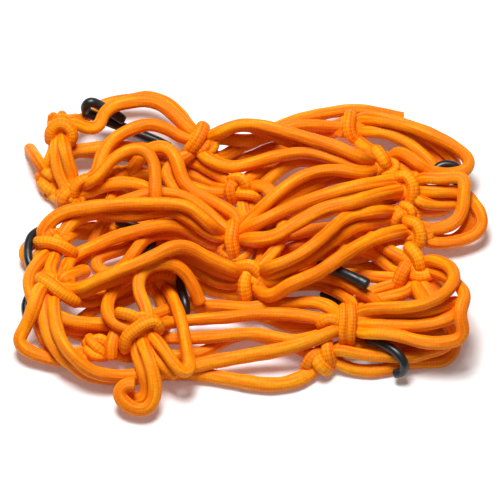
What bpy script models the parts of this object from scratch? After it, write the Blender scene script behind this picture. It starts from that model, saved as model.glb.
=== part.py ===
"""Elastic cargo net with its hooks, bunched and folded into a heap as it lies.

The heap is laid out as it is seen from the front at VIEW_ELEVATION: every knot
and every bend of a strand is given by its place across and up that view, with
the level above the table at which it lies.  The strands are then let down along
the line of sight until they rest on the table or on one another.  Lengths in
the tables are millimetres; the solids are built in metres, +Z up, with the
origin on the table under the middle of the heap.
"""
import math
from collections import namedtuple

import bmesh
import bpy
import numpy as np
from mathutils import Matrix, Vector

MM = 0.001
VIEW_ELEVATION = math.radians(55)

# The cord: six-sided, with a flat side down
CORD_SIDES = 6
CORD_RADIUS = 3.2            # to a corner of the section
CORD_REACH = 3.05            # half thickness used where strands press together
CORD_FLAT = CORD_RADIUS * math.cos(math.pi / CORD_SIDES)
HOOK_SIDES = 8
HOOK_RADIUS = 2.0
HOOK_REACH = 2.6             # half thickness kept clear round a hook
HOOK_FLAT = HOOK_RADIUS * math.cos(math.pi / HOOK_SIDES)
KNOT_REACH = 7.2             # half thickness of a knot where others cross it
KNOT_FLAT = 6.3              # least height of a knot's middle over the table
GAP = 0.9                    # air between pieces that lie on each other

# Laying the strands down
SAMPLE = 3.0                 # spacing of the points that are let down
KNOT_ROOT = 4.2              # a strand starts this far from its knot's middle
KNOT_GRIP = 7.0              # and is held by the knot this far out
KNOT_CLEAR = 13.0            # strands of one knot may touch this near to it
SETTLE_STEPS = 900
RELEASE_STEPS = 900
SETTLE_DROP = 0.12
STIFFNESS = 0.45             # how far a strand straightens itself while it is let down
RELEASE_STIFFNESS = 0.12     # and once it only rests
PUSH = 0.9                   # part of an overlap that is taken up at a time
LEAST_SHARE = 0.12           # of it that a point takes where it touches many others
BALL_REACH = 0.8             # more room kept round a hook with a moulded end
SELF_NEAR = 15.0             # points of one strand nearer than this along it may touch
SPLINE_STEPS = 24            # fine points between two corners of a line
STEEP = 0.35                 # a tube runs nearly upright where its level side is shorter

# Rings of the solids
RING_LONG = 15.0             # farthest apart, on a straight run
RING_SHORT = 4.5
RING_TURN = math.radians(32)  # most that the cord turns between two rings

NET_TRIANGLES = 10800        # what the fused net is thinned to
DIAGONAL_PASSES = 6
PRESS = 0.12                 # what lies lower than this is pressed flat on the table

Knot = namedtuple("Knot", "across up level turn face")
KNOTS = {
    "A": Knot(-95.5, 56.5, 30, -80, "band"),
    "B": Knot(-100.5, 28.5, 14, -60, "plait"),
    "C": Knot(-89.0, 24.0, 30, -15, "band"),
    "S": Knot(-66.0, 31.0, 18, 20, "plait"),
    "D": Knot(-26.0, 51.0, 34, -27, "band"),
    "K": Knot(-5.0, 25.5, 24, -20, "plait"),
    "E": Knot(50.5, 57.0, 26, 10, "band"),
    "F": Knot(67.0, 38.0, 32, -30, "plait"),
    "G": Knot(79.5, 26.0, 36, 8, "band"),
    "J": Knot(77.0, 12.0, 20, 20, "plait"),
    "I": Knot(83.5, 3.5, 32, 18, "band"),
    "R": Knot(82.0, -15.0, 24, -50, "plait"),
    "H": Knot(-8.5, 0.5, 38, -5, "band"),
    "N": Knot(1.0, -19.5, 34, 5, "plait"),
    "L": Knot(-97.0, -2.0, 34, 67, "band"),
    "M": Knot(-95.0, -23.0, 34, 57, "band"),
    "T": Knot(-55.0, -45.0, 28, -60, "band"),
    "O": Knot(-46.0, -20.0, 18, -70, "plait"),
    "P": Knot(48.7, -42.0, 26, 3, "band"),
    "Q": Knot(35.0, -60.0, 12, 10, "plait"),
    "V": Knot(-76.0, -53.5, 7, 0, "plait"),
}

# Strands: the knots at their two ends (None is a cut end), the level of the
# stretch between them, and their bends as (across, up) or (across, up, level)
Strand = namedtuple("Strand", "start end level bends")
TOP_LEFT = (
    Strand("A", "D", 30, ((-90, 59.5), (-84.5, 57.2), (-79.5, 55.8), (-75.3, 57.3), (-74, 62),
                          (-70, 66.2), (-62, 68.8), (-50, 69.5), (-42, 65.9), (-35, 59.4))),
    Strand("A", "D", 26, ((-90, 60.5), (-85.5, 59.6), (-82, 62), (-77.5, 65.8), (-69, 69.2),
                          (-60, 70.4), (-52, 72), (-44, 69.8), (-36, 64))),
    Strand("C", "D", 36, ((-77, 33), (-74.4, 41.6), (-69, 49.6), (-60, 55.2), (-50, 57.9),
                          (-42.4, 55.8), (-32.6, 50.8))),
    Strand("B", "K", 14, ((-96, 39), (-90, 44.3), (-80, 45.6), (-70, 46.8), (-60, 46.2),
                          (-50, 45), (-42, 44.5), (-34, 41.3), (-25, 38), (-17, 33.5))),
    Strand("B", "K", 10, ((-94.5, 38), (-88.5, 43.6), (-72, 43.6), (-58, 41.6), (-45, 38.5),
                          (-33, 34.3), (-26, 31.8), (-19, 28.5))),
    Strand("A", "C", 28, ((-93.6, 50), (-91.6, 42), (-90, 36), (-88.6, 31))),
    Strand("A", "C", 26, ((-97, 48), (-97, 41), (-95.8, 34), (-93, 27.5))),
    Strand("A", "B", 18, ((-97.5, 47), (-99, 41.5), (-101.2, 36))),
    Strand("B", None, 20, ((-102.6, 34), (-105, 38), (-107.6, 41.8), (-110.2, 45.2))),
    Strand("B", "C", 22, ((-99.6, 24), (-95.2, 20.4))),
    Strand("C", "O", 40, ((-76, 32), (-70, 39), (-62, 44), (-55, 45.5), (-50, 42.5),
                          (-47.6, 36), (-47.3, 24, 34), (-45.5, 12, 24), (-41, 3, 20),
                          (-38.5, -3, 18), (-42, -12, 18))),
    Strand("S", "H", 34, ((-61, 33), (-57, 38), (-53.5, 42.5, 30), (-49.5, 45.8), (-43.5, 46.8),
                          (-38.8, 43.6), (-36, 37.5), (-33.5, 30), (-28, 24, 28),
                          (-20, 19.5, 26), (-12, 15.5, 28), (-6, 10.5, 34))),
    Strand("D", "H", 16, ((-29, 43.8), (-33, 41), (-38.6, 38.4), (-42, 33), (-38.5, 27),
                          (-33, 19), (-24, 9.5, 22))),
    Strand("C", "H", 30, ((-82, 23.5), (-75, 26.5), (-64, 28.5), (-55, 27.3), (-46, 23.5),
                          (-37, 17.5), (-26, 9, 24))),
    Strand("S", "C", 16, ((-73, 30), (-80, 27))),
    Strand("S", "K", 9, ((-59.5, 32.5), (-53.5, 33.5), (-47, 31.8), (-40, 29.5), (-30, 26.5),
                         (-20, 23.8), (-12, 23.5))),
)
TOP_RIGHT = (
    Strand("D", "F", 38, ((-20, 52), (-15, 54.2), (-8, 57.2), (-2, 58), (5, 57.4), (20, 53.6),
                          (30, 50.6), (42, 47), (52, 43), (60, 39.8))),
    Strand("D", "F", 30, ((-24.5, 43.5), (-18, 39), (-10, 36.5), (0, 38), (10, 41), (20, 43),
                          (28, 43.6), (35, 42.6), (42, 40.5), (50, 38), (59, 35.5))),
    Strand("D", "F", 20, ((-15, 53), (-8, 56.8), (0, 57), (7, 54.6), (15, 51.2), (26, 47), (38, 42),
                          (52, 37.5))),
    Strand("D", "E", 14, ((-14, 50.8), (-6, 50), (2, 50), (10, 52.5), (19, 56.3), (30, 57.4), (40, 57))),
    Strand("D", None, 10, ((-16, 41), (-10.5, 43.4), (-5, 46.8), (1.5, 49.3), (8, 53),
                           (14, 56.5), (22, 59.5), (30, 61.7), (40, 63.8), (50, 65.1),
                           (60, 64.5), (70, 62.6), (76.3, 61.2))),
    Strand("D", "F", 6, ((-18, 40), (-8, 39.6), (2, 42.2), (9, 45.4), (17, 46.6), (28, 45.2),
                         (42, 40), (55, 37.5))),
    Strand("E", "F", 24, ((56, 61), (64, 60.7), (74, 58.5), (84, 55.5), (92, 52.2), (100, 48.1),
                          (106.5, 43.6), (110.1, 38.8), (108, 34.8), (100, 33.2), (92, 33.9),
                          (86, 36.6), (80, 41), (74.5, 43.8))),
    Strand("E", None, 20, ((57, 58), (67, 58), (76, 56), (84.5, 52.7), (92, 49), (98.3, 44.2),
                           (102.3, 39.5), (103.5, 33, 14))),
    Strand("E", "F", 10, ((52.8, 51), (56, 47.8), (60.5, 45))),
    Strand("F", "G", 16, ((73, 37.5), (78.6, 35.4), (83, 32.4))),
    Strand(None, "E", 6, ((7, 54), (20, 54.6), (32, 53.6), (42, 54))),
    Strand("E", None, 12, ((57, 56.5), (68, 56), (78, 53.5), (87, 48.5), (93.5, 42.5),
                           (98, 36, 10))),
    Strand("E", "J", 18, ((57, 54.7), (64, 54.5), (70, 53), (77.5, 49.5), (84.5, 44), (90, 39),
                          (94, 33, 14), (98, 24, 10), (100, 17, 10), (94, 14.8, 12),
                          (86, 14.5, 14))),
    Strand("G", "I", 34, ((86, 31), (95, 30.8), (105.2, 31.3), (107.3, 28.5, 28), (106.8, 22, 22),
                          (106.2, 15, 22), (102.8, 9.3, 24), (97, 6.3, 28), (90, 5.2))),
    Strand("G", "I", 30, ((87, 24.7), (95, 24.2), (102.5, 24.2), (107.8, 22.6, 24),
                          (111.9, 18.2, 12), (115.2, 13.5), (116.3, 8.5), (114.4, 4.2),
                          (109, 0.9), (102.5, -0.9), (95, -1.6), (89, -1.1))),
    Strand("G", "I", 26, ((84.5, 19.5), (91, 18), (98, 17.9), (104.5, 18.2, 20), (109, 14.5, 8),
                          (109.7, 9), (106.9, 3.5), (101.5, 0), (95.5, -0.3, 12), (90, 0.6))),
    Strand("H", "F", 34, ((0, 10.5), (4, 14), (10, 20), (17.5, 26), (24, 30.5), (30, 33.2),
                          (36, 34.6), (45, 34.8), (57, 33.5))),
    Strand("H", "F", 26, ((2, 8), (9, 13.5), (17, 20), (27, 25.5), (35, 28.8), (42, 31.3),
                          (53, 33.5))),
    Strand("K", "F", 14, ((3, 25.5), (9, 29.5), (15.5, 35.6), (23, 39.2), (36, 38.6), (51, 36))),
)
MIDDLE = (
    Strand("G", "H", 38, ((73, 29.7), (60, 28), (50, 26), (40, 23.3), (25, 18.3), (15, 14),
                          (5, 9), (-2, 5.5))),
    Strand("G", "H", 36, ((74, 24.5), (65, 22.8), (59, 21), (50, 18.5), (41, 16.8), (35, 14.8),
                          (30, 12), (20, 6.4), (12, 1.7), (2, 0.5))),
    Strand("J", "N", 24, ((72, 14), (65, 14.3), (55, 13), (50, 12), (45, 9.3), (40, 4.7),
                          (32.5, -1.8), (27.5, -5.5), (22.5, -8.5), (16.5, -11.3),
                          (9, -14))),
    Strand("J", "N", 18, ((72, 9.8), (65, 9), (55, 7), (45, 2.5), (38, -2.5), (28, -9.5),
                          (18, -14.2), (9, -17.5))),
    Strand("I", "N", 34, ((77.5, 4.5), (74, 4), (65, 1.7), (55, -2.5), (45, -8.8), (35, -15.6),
                          (27.5, -19.2), (20, -22.5), (13, -26.8), (8.5, -28.2),
                          (5, -25.5))),
    Strand("N", "K", 22, ((4.5, -14), (9, -9), (13.5, -4), (16.3, 3), (15.5, 12), (12.5, 21),
                          (8.5, 26.2), (4, 27.3))),
    Strand("L", "H", 30, ((-101, 7), (-94, 12.3), (-85, 14.8), (-75, 16.3), (-66, 18.3, 32),
                          (-60, 20.3, 34), (-53, 22.4, 36), (-45, 23.5), (-36, 22.8),
                          (-30, 20.5), (-25, 17), (-19, 12), (-13, 6.5))),
    Strand("L", "H", 40, ((-104, 3), (-101.2, 7.4), (-96.8, 11.8), (-90.5, 14.4), (-80, 16.2),
                          (-70, 17.4), (-60, 17.9), (-50, 18.1), (-40, 18), (-32.5, 17),
                          (-28, 14.6), (-22.5, 10), (-17, 5.2))),
    Strand("L", "H", 37, ((-93, 3.5), (-90, 7.8), (-85, 11.2), (-80, 12.7), (-74, 12.8),
                          (-65, 12), (-55, 12.2), (-46, 13.9), (-40, 14.2), (-35, 12.8),
                          (-30, 9.7), (-25, 6), (-19, 2.2))),
    Strand("M", "H", 30, ((-92.5, -15), (-89, -8.6), (-84, -6), (-75, -2), (-70, 0.4),
                          (-60, 3.5), (-52, 5.4), (-45, 7), (-40, 7.4), (-35, 6.6),
                          (-30, 4.2), (-24, 0.4), (-17, -1.6))),
    Strand(None, "H", 18, ((-57, -0.5), (-63, -4.4), (-70, -6.6), (-76.6, -9.5), (-76, -14.2),
                           (-69.5, -16.6), (-63, -12.5), (-58, -6.5), (-53, 0, 20),
                           (-44, 3.2, 22), (-35, 1.8), (-25, -3.5), (-17, -4))),
    Strand("M", "N", 38, ((-86, -24), (-75, -19.3), (-65, -15.2), (-55, -11.2), (-45, -6.5),
                          (-39, -3.7), (-34, -3), (-29, -4.2), (-24, -7.2), (-17, -10.8),
                          (-8, -14.8))),
    Strand("N", "T", 30, ((-7, -22), (-17.5, -20.8), (-22.5, -17.6), (-27.5, -14),
                          (-33, -11.2), (-39, -11, 28), (-48, -13, 24), (-58, -17.5, 22),
                          (-65.5, -22), (-70, -29), (-71.3, -35.5), (-68, -41),
                          (-62.5, -43.5))),
    Strand("T", None, 32, ((-51, -38), (-53.2, -31), (-55.4, -25.5), (-55, -18.5),
                           (-50.5, -13.4), (-44, -11.6), (-38, -12.3), (-32, -17),
                           (-28, -24), (-25, -31.5))),
)
LEFT_EDGE = (
    Strand("L", "V", 16, ((-101.5, -7), (-106.3, -12), (-109.4, -17), (-110.4, -22.5), (-109, -28),
                          (-106, -35, 10), (-105, -43), (-101.8, -50.5, 5), (-97.2, -56, 3),
                          (-91, -57.2, 3), (-84, -56.2, 3))),
    Strand("L", "M", 34, ((-97.5, -9), (-100, -14.5), (-99.5, -19))),
    Strand("L", "M", 6, ((-103.6, -1.6), (-108.6, -1.8), (-111.8, -3.6), (-113, -6.6), (-111.6, -9.6),
                         (-107.4, -12.8), (-103, -17, 14))),
    Strand("L", "M", 12, ((-102.5, -5.5), (-105.8, -7.5), (-105.5, -11.5), (-102, -16.5))),
    Strand("M", None, 42, ((-93.5, -19), (-88.5, -17.4), (-83, -15.6))),
    Strand("M", "V", 26, ((-104.3, -24), (-106.7, -30), (-109.3, -37.5), (-112.6, -44.5, 12),
                          (-115.1, -50.4, 4), (-112.1, -54.3, 3), (-106, -57.2, 3),
                          (-99, -59.3, 3), (-91, -60.4, 3), (-83, -59.4, 3))),
    Strand("M", "Q", 24, ((-102, -29), (-101.8, -38, 20), (-99.6, -48, 14),
                          (-94.8, -56, 14), (-87.6, -61.9, 10), (-79.6, -67.1, 5),
                          (-68, -68.6, 3), (-56, -68.8, 3), (-42, -67, 3),
                          (-30, -66.8, 3), (-20, -68, 3), (-10, -69.7, 3), (0, -71.4, 3),
                          (10, -72.4, 3), (19.5, -71.3, 3), (27.5, -68, 5))),
    Strand("M", "P", 28, ((-97.5, -30), (-97.3, -38), (-95.2, -47, 22), (-91, -54.7, 18),
                          (-85, -60.8, 12), (-77.5, -65.8, 6), (-66, -67.7, 5), (-52, -66.7, 5),
                          (-38, -64.6, 5), (-27.5, -62.6, 5), (-18, -60.5, 8),
                          (-9, -59, 12), (0, -57.4, 14), (10, -55.7, 16), (20, -53.3, 20),
                          (30, -50.2, 22), (39, -46.5, 24))),
    Strand("V", "Q", 5, ((-63, -58), (-50, -58.5), (-38, -58), (-28, -57), (-21, -55),
                         (-15, -51.2), (-9, -48.3), (-1, -46.9), (8, -48.7), (17, -51),
                         (26, -55))),
    Strand("M", "P", 8, ((-102, -36), (-94, -43), (-84, -44.8), (-74, -45.4), (-60, -46.8),
                         (-45, -48.8), (-30, -49), (-15, -48), (-4, -46.8), (6, -47.2),
                         (16, -49.2), (24, -49.9), (34, -47.4))),
    Strand("M", "P", 12, ((-99, -35.5), (-92, -39.6), (-85, -41.2), (-75, -41.8), (-66, -42),
                          (-52, -39), (-41, -35), (-30, -33), (-15, -32.8), (0, -33.7),
                          (10, -32.3), (20, -31.6), (30, -31), (36, -31.8), (42, -35))),
    Strand("T", "P", 10, ((-43, -41.8), (-30, -40), (-10, -38.4), (0, -37.2), (10, -36.8),
                          (20, -37), (31, -38.5))),
    Strand(None, "P", 5, ((0, -37), (8, -38.5), (15, -41.3), (22, -43.3), (31, -44))),
)
FRONT = (
    Strand("T", None, 22, ((-53.5, -51), (-50.6, -58.3), (-48.2, -66, 16), (-47.2, -73, 10),
                           (-47.9, -79.4, 5), (-51, -84, 3), (-56.2, -84.5, 3),
                           (-61.4, -81.9, 3), (-64.8, -78, 3), (-64.8, -74.6, 3),
                           (-61.6, -72.2, 4), (-57.8, -72, 8))),
    Strand("T", None, 14, ((-57, -52.5), (-55, -60), (-52.8, -67), (-51.6, -73.5, 8),
                           (-52.8, -78.6, 6), (-56.8, -79.5, 6), (-60.6, -77.2, 8))),
    Strand("T", "O", 20, ((-48, -48.5), (-43, -54.5), (-39, -60), (-35.6, -64.3),
                          (-32.3, -66.3), (-30.2, -63.8), (-30.9, -58.5, 24), (-32.2, -51),
                          (-33.8, -42), (-36.6, -33.3), (-40, -26.5))),
    Strand("T", None, 14, ((-51.5, -51.5), (-46.5, -58.5), (-41.5, -64), (-37, -67.5))),
    Strand("T", None, 12, ((-62, -42.8), (-67, -46), (-69, -52.5), (-69, -58.5))),
    Strand("P", "R", 24, ((55, -35.5), (65, -33.8), (75, -33.6), (85, -32.3), (92, -29.7),
                          (97.5, -26), (101.3, -21.3), (101.8, -16.5), (98.6, -12.5),
                          (93.7, -10.9), (89, -9.8))),
    Strand("P", "P", 20, ((55, -39), (65, -37.8), (75, -37), (85, -36), (95, -33.3),
                          (101.6, -31, 14), (105, -32, 10), (103.6, -36, 8),
                          (98.5, -39.2, 10), (92, -41.4), (84, -42.6), (75, -42.7),
                          (62, -42.2))),
    Strand("P", None, 8, ((60, -40), (75, -40.3), (86, -39), (95, -36), (101, -32))),
    Strand("P", "R", 24, ((54.5, -46), (65, -46.3), (75, -47.9), (82, -50), (90, -51.3),
                          (98, -50.9), (104.3, -49.4), (106.2, -44.8), (104.8, -39.5),
                          (104.8, -34), (107, -28.4), (104.2, -22.7, 16),
                          (97, -18, 16), (90, -15.5, 18))),
    Strand("Q", "R", 8, ((43, -54.8), (50, -56), (60, -57.6), (70.5, -58.3), (79, -58.6),
                         (88, -56.2), (95.5, -54, 6), (100.8, -49.5, 5), (99.4, -43, 8),
                         (93, -37.5, 10), (87.5, -31.5, 16), (83.5, -25.5, 18))),
    Strand("Q", "R", 3, ((43, -61), (50, -63.9), (60, -65.3), (70, -63.9), (80, -61.3),
                         (90, -60.8), (97, -60), (101, -56.6), (102.4, -51), (101.5, -44),
                         (97, -36.5, 5), (92, -30, 14), (88, -24, 18))),
    Strand("R", "N", 8, ((76, -17), (71.5, -15.3), (66, -11), (60, -6.5), (50, -5, 6),
                         (38, -7), (26, -11), (13, -16))),
    Strand("R", "H", 12, ((78, -10), (69, -5), (60, 2, 8), (50, 5.5), (38, 6), (20, 2.5),
                          (5, -1))),
    Strand("R", "N", 3, ((73, -18), (63, -14.6), (50, -12.4), (36, -12), (22, -14),
                         (12, -19))),
    Strand("N", "Q", 10, ((12, -20.5), (26, -18.5), (38, -18.5), (46, -20.5), (52, -24),
                          (58, -27.5), (63.5, -31.5), (64, -38, 8), (59, -47, 4),
                          (47, -55.5, 4))),
    Strand("N", "P", 6, ((12, -24), (24, -22.3), (35, -22.5), (43, -25.5), (49.5, -29.5),
                         (51.5, -35))),
)
UNDERNEATH = (
    Strand("M", "S", 12, ((-89, -13.5), (-82.5, -9.5), (-79, -3), (-76, 4), (-72, 12),
                          (-69, 22))),
    Strand("L", "O", 8, ((-88, 3), (-79, 6.5), (-70, 5), (-62, 0.5), (-56, -8), (-51, -14))),
    Strand("M", "O", 10, ((-88, -29.8), (-80, -30.8), (-72, -28.3), (-64, -24.4), (-56, -19.7))),
    Strand("O", None, 4, ((-56, -27), (-65, -31), (-74, -33.2), (-80, -36.2), (-85, -40.5),
                          (-90, -44))),
    Strand("O", "N", 8, ((-38, -20.5), (-30, -21.2), (-22, -24.2), (-12, -26.6), (-5, -25))),
    Strand("M", "N", 33, ((-86, -26.5), (-75, -22.5), (-65, -18.5), (-55, -14.5), (-45, -10),
                          (-38, -7.6), (-31, -8), (-24, -11.5), (-16, -15), (-8, -17.8))),
    Strand("K", "F", 10, ((0, 31.5), (7, 34), (15, 38.3), (25, 41.2), (40, 39.5), (52, 37))),
    Strand("K", "N", 6, ((-3.5, 18), (-2.5, 12.5), (1, 7), (4, 0), (4.5, -6), (3.5, -12))),
    Strand("S", "H", 8, ((-59, 27), (-46, 21), (-32, 18), (-22, 14), (-14, 8.5))),
    Strand("G", "N", 12, ((72.5, 21.5), (60, 18.8), (48, 17.3), (38, 14), (29, 11.5),
                          (20, 9.5), (12, 5.5), (7.5, -1), (6, -9))),
    Strand("J", "N", 8, ((70.5, 7), (60, 3.6), (50, 0.6), (40, -0.4), (30, -1.5), (20, -5),
                         (11, -11))),
    Strand("I", "N", 5, ((79, 1), (72, -0.3), (65.5, -4.4), (58, -8), (48, -9.3),
                         (38, -12.3), (26, -17.5), (13, -22))),
    Strand("R", "N", 6, ((75, -19), (66, -18.8), (57, -17.8), (47, -17.2), (35, -18.5),
                         (20, -21.5), (10, -21.5))),
    Strand("R", "P", 6, ((76, -20.5), (70, -22.8), (63, -25), (56, -28.5), (52, -34))),
    Strand("R", "P", 4, ((80.5, -24), (75.5, -27.2), (68, -28.8), (60, -31), (54, -35.5))),
    Strand("P", "R", 8, ((58, -44.5), (70, -46), (82, -47), (91, -46.5), (97, -43.5),
                         (98.5, -38), (97.5, -31), (94, -25), (88, -19.5))),
    Strand("Q", "R", 6, ((44, -53), (53, -52.6), (63, -53.4), (72, -54), (80, -54.6),
                         (88, -53), (94, -50), (96.5, -45), (94.5, -38), (90, -30),
                         (85.5, -23.5))),
)
STRANDS = TOP_LEFT + TOP_RIGHT + MIDDLE + LEFT_EDGE + FRONT + UNDERNEATH

# Hooks: coated wire, laid among the strands; the ball is the radius of a
# moulded end, 0 for a plain one
Hook = namedtuple("Hook", "level ball bends")
HOOKS = {
    "hook_top_left": Hook(10, 0, ((-41, 46.8), (-46, 49.3), (-54, 52.6), (-62, 55.8),
                                  (-70, 59), (-77, 61.8), (-81.4, 64, 14),
                                  (-82.3, 66.7, 34), (-79.8, 69.2, 44), (-73, 66.2, 46),
                                  (-66, 61.9, 44), (-64, 60.4, 40))),
    "hook_left_upper": Hook(22, 0, ((-99, 6, 12), (-104, 5.2, 14), (-108, 3.2, 18),
                                    (-110.4, -0.4), (-110.9, -4.4), (-110.8, -8.6),
                                    (-109.6, -12.6, 12))),
    "hook_left_lower": Hook(8, 0, ((-98.5, -36), (-103.4, -39.6), (-107.4, -41),
                                   (-110.8, -39), (-112, -34.6), (-111.4, -29.6),
                                   (-108, -26), (-103, -24.5))),
    "hook_front": Hook(14, 0, ((-35, -13.5, 8), (-35.5, -18), (-34.6, -22.6), (-33, -28.4),
                               (-32, -34.4), (-32.5, -40, 8))),
    "hook_hollow": Hook(12, 0, ((-66, 9.3), (-59, 7.4), (-52, 4.4), (-48.5, 0), (-50, -5),
                                (-54, -9.5), (-58, -12))),
    "hook_right_upper": Hook(18, 0, ((92, 31.5), (92.6, 35, 22), (96, 37.6, 26),
                                     (100, 37.9, 26), (103.8, 36.2, 22), (105, 32),
                                     (102.5, 28.5, 14))),
    "hook_right_middle": Hook(18, 3.0, ((35, -12.4, 10), (42.5, -14.8), (49.5, -17.6),
                                        (58, -22))),
    "hook_right_lower": Hook(16, 0, ((59, -49.4, 10), (64, -51.2), (69, -53.2), (73.4, -56.4),
                                     (76.2, -60.2), (76.8, -63.6, 10), (75.2, -66, 4),
                                     (72.6, -66.5, 3))),
    "hook_gap_right": Hook(10, 0, ((48.5, 25), (53, 28.6), (58, 30.8), (64.5, 31.6))),
    "hook_gap_front": Hook(6, 0, ((36.5, -26.6), (40.5, -29.2), (45, -31.2), (52, -32.8))),
    "hook_gap_left": Hook(3, 0, ((-72, 36), (-64, 34.4), (-55, 30.6), (-48, 27))),
}


def smooth_line(corners, step):
    """Points every `step` along a smooth curve through the corners."""
    points = np.array(corners, float)
    before = 2 * points[0] - points[1]
    after = 2 * points[-1] - points[-2]
    points = np.vstack([before, points, after])
    chords = np.maximum(np.linalg.norm(np.diff(points[:, :2], axis=0), axis=1), 0.5)
    knots = np.concatenate([[0.0], np.cumsum(np.sqrt(chords))])
    fine = []
    for i in range(1, len(points) - 2):
        k0, k1, k2, k3 = knots[i - 1:i + 3]
        p0, p1, p2, p3 = points[i - 1:i + 3]
        for k in np.linspace(k1, k2, SPLINE_STEPS, endpoint=False):
            a1 = ((k1 - k) * p0 + (k - k0) * p1) / (k1 - k0)
            a2 = ((k2 - k) * p1 + (k - k1) * p2) / (k2 - k1)
            a3 = ((k3 - k) * p2 + (k - k2) * p3) / (k3 - k2)
            b1 = ((k2 - k) * a1 + (k - k0) * a2) / (k2 - k0)
            b2 = ((k3 - k) * a2 + (k - k1) * a3) / (k3 - k1)
            fine.append(((k2 - k) * b1 + (k - k1) * b2) / (k2 - k1))
    fine.append(points[-2])
    return spaced(np.array(fine), step)


def spaced(points, step):
    """The same line, with its points an even distance of about `step` apart."""
    along = np.concatenate([[0.0], np.cumsum(np.linalg.norm(np.diff(points, axis=0), axis=1))])
    count = max(int(round(along[-1] / step)), 2)
    stations = np.linspace(0.0, along[-1], count + 1)
    return np.column_stack([np.interp(stations, along, column) for column in points.T])


def strand_corners(strand):
    """A strand's corners from knot to knot as (across, up, level)."""
    corners = [(*bend, strand.level)[:3] for bend in strand.bends]
    for name, at_start in ((strand.start, True), (strand.end, False)):
        if name is None:
            continue
        knot = KNOTS[name]
        near = corners[0] if at_start else corners[-1]
        lead = (near[0] - knot.across, near[1] - knot.up)
        inward = min(KNOT_ROOT / math.hypot(*lead), 0.7)
        inside = (knot.across + inward * lead[0], knot.up + inward * lead[1], knot.level)
        corners = [inside] + corners if at_start else corners + [inside]
    return corners


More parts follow.
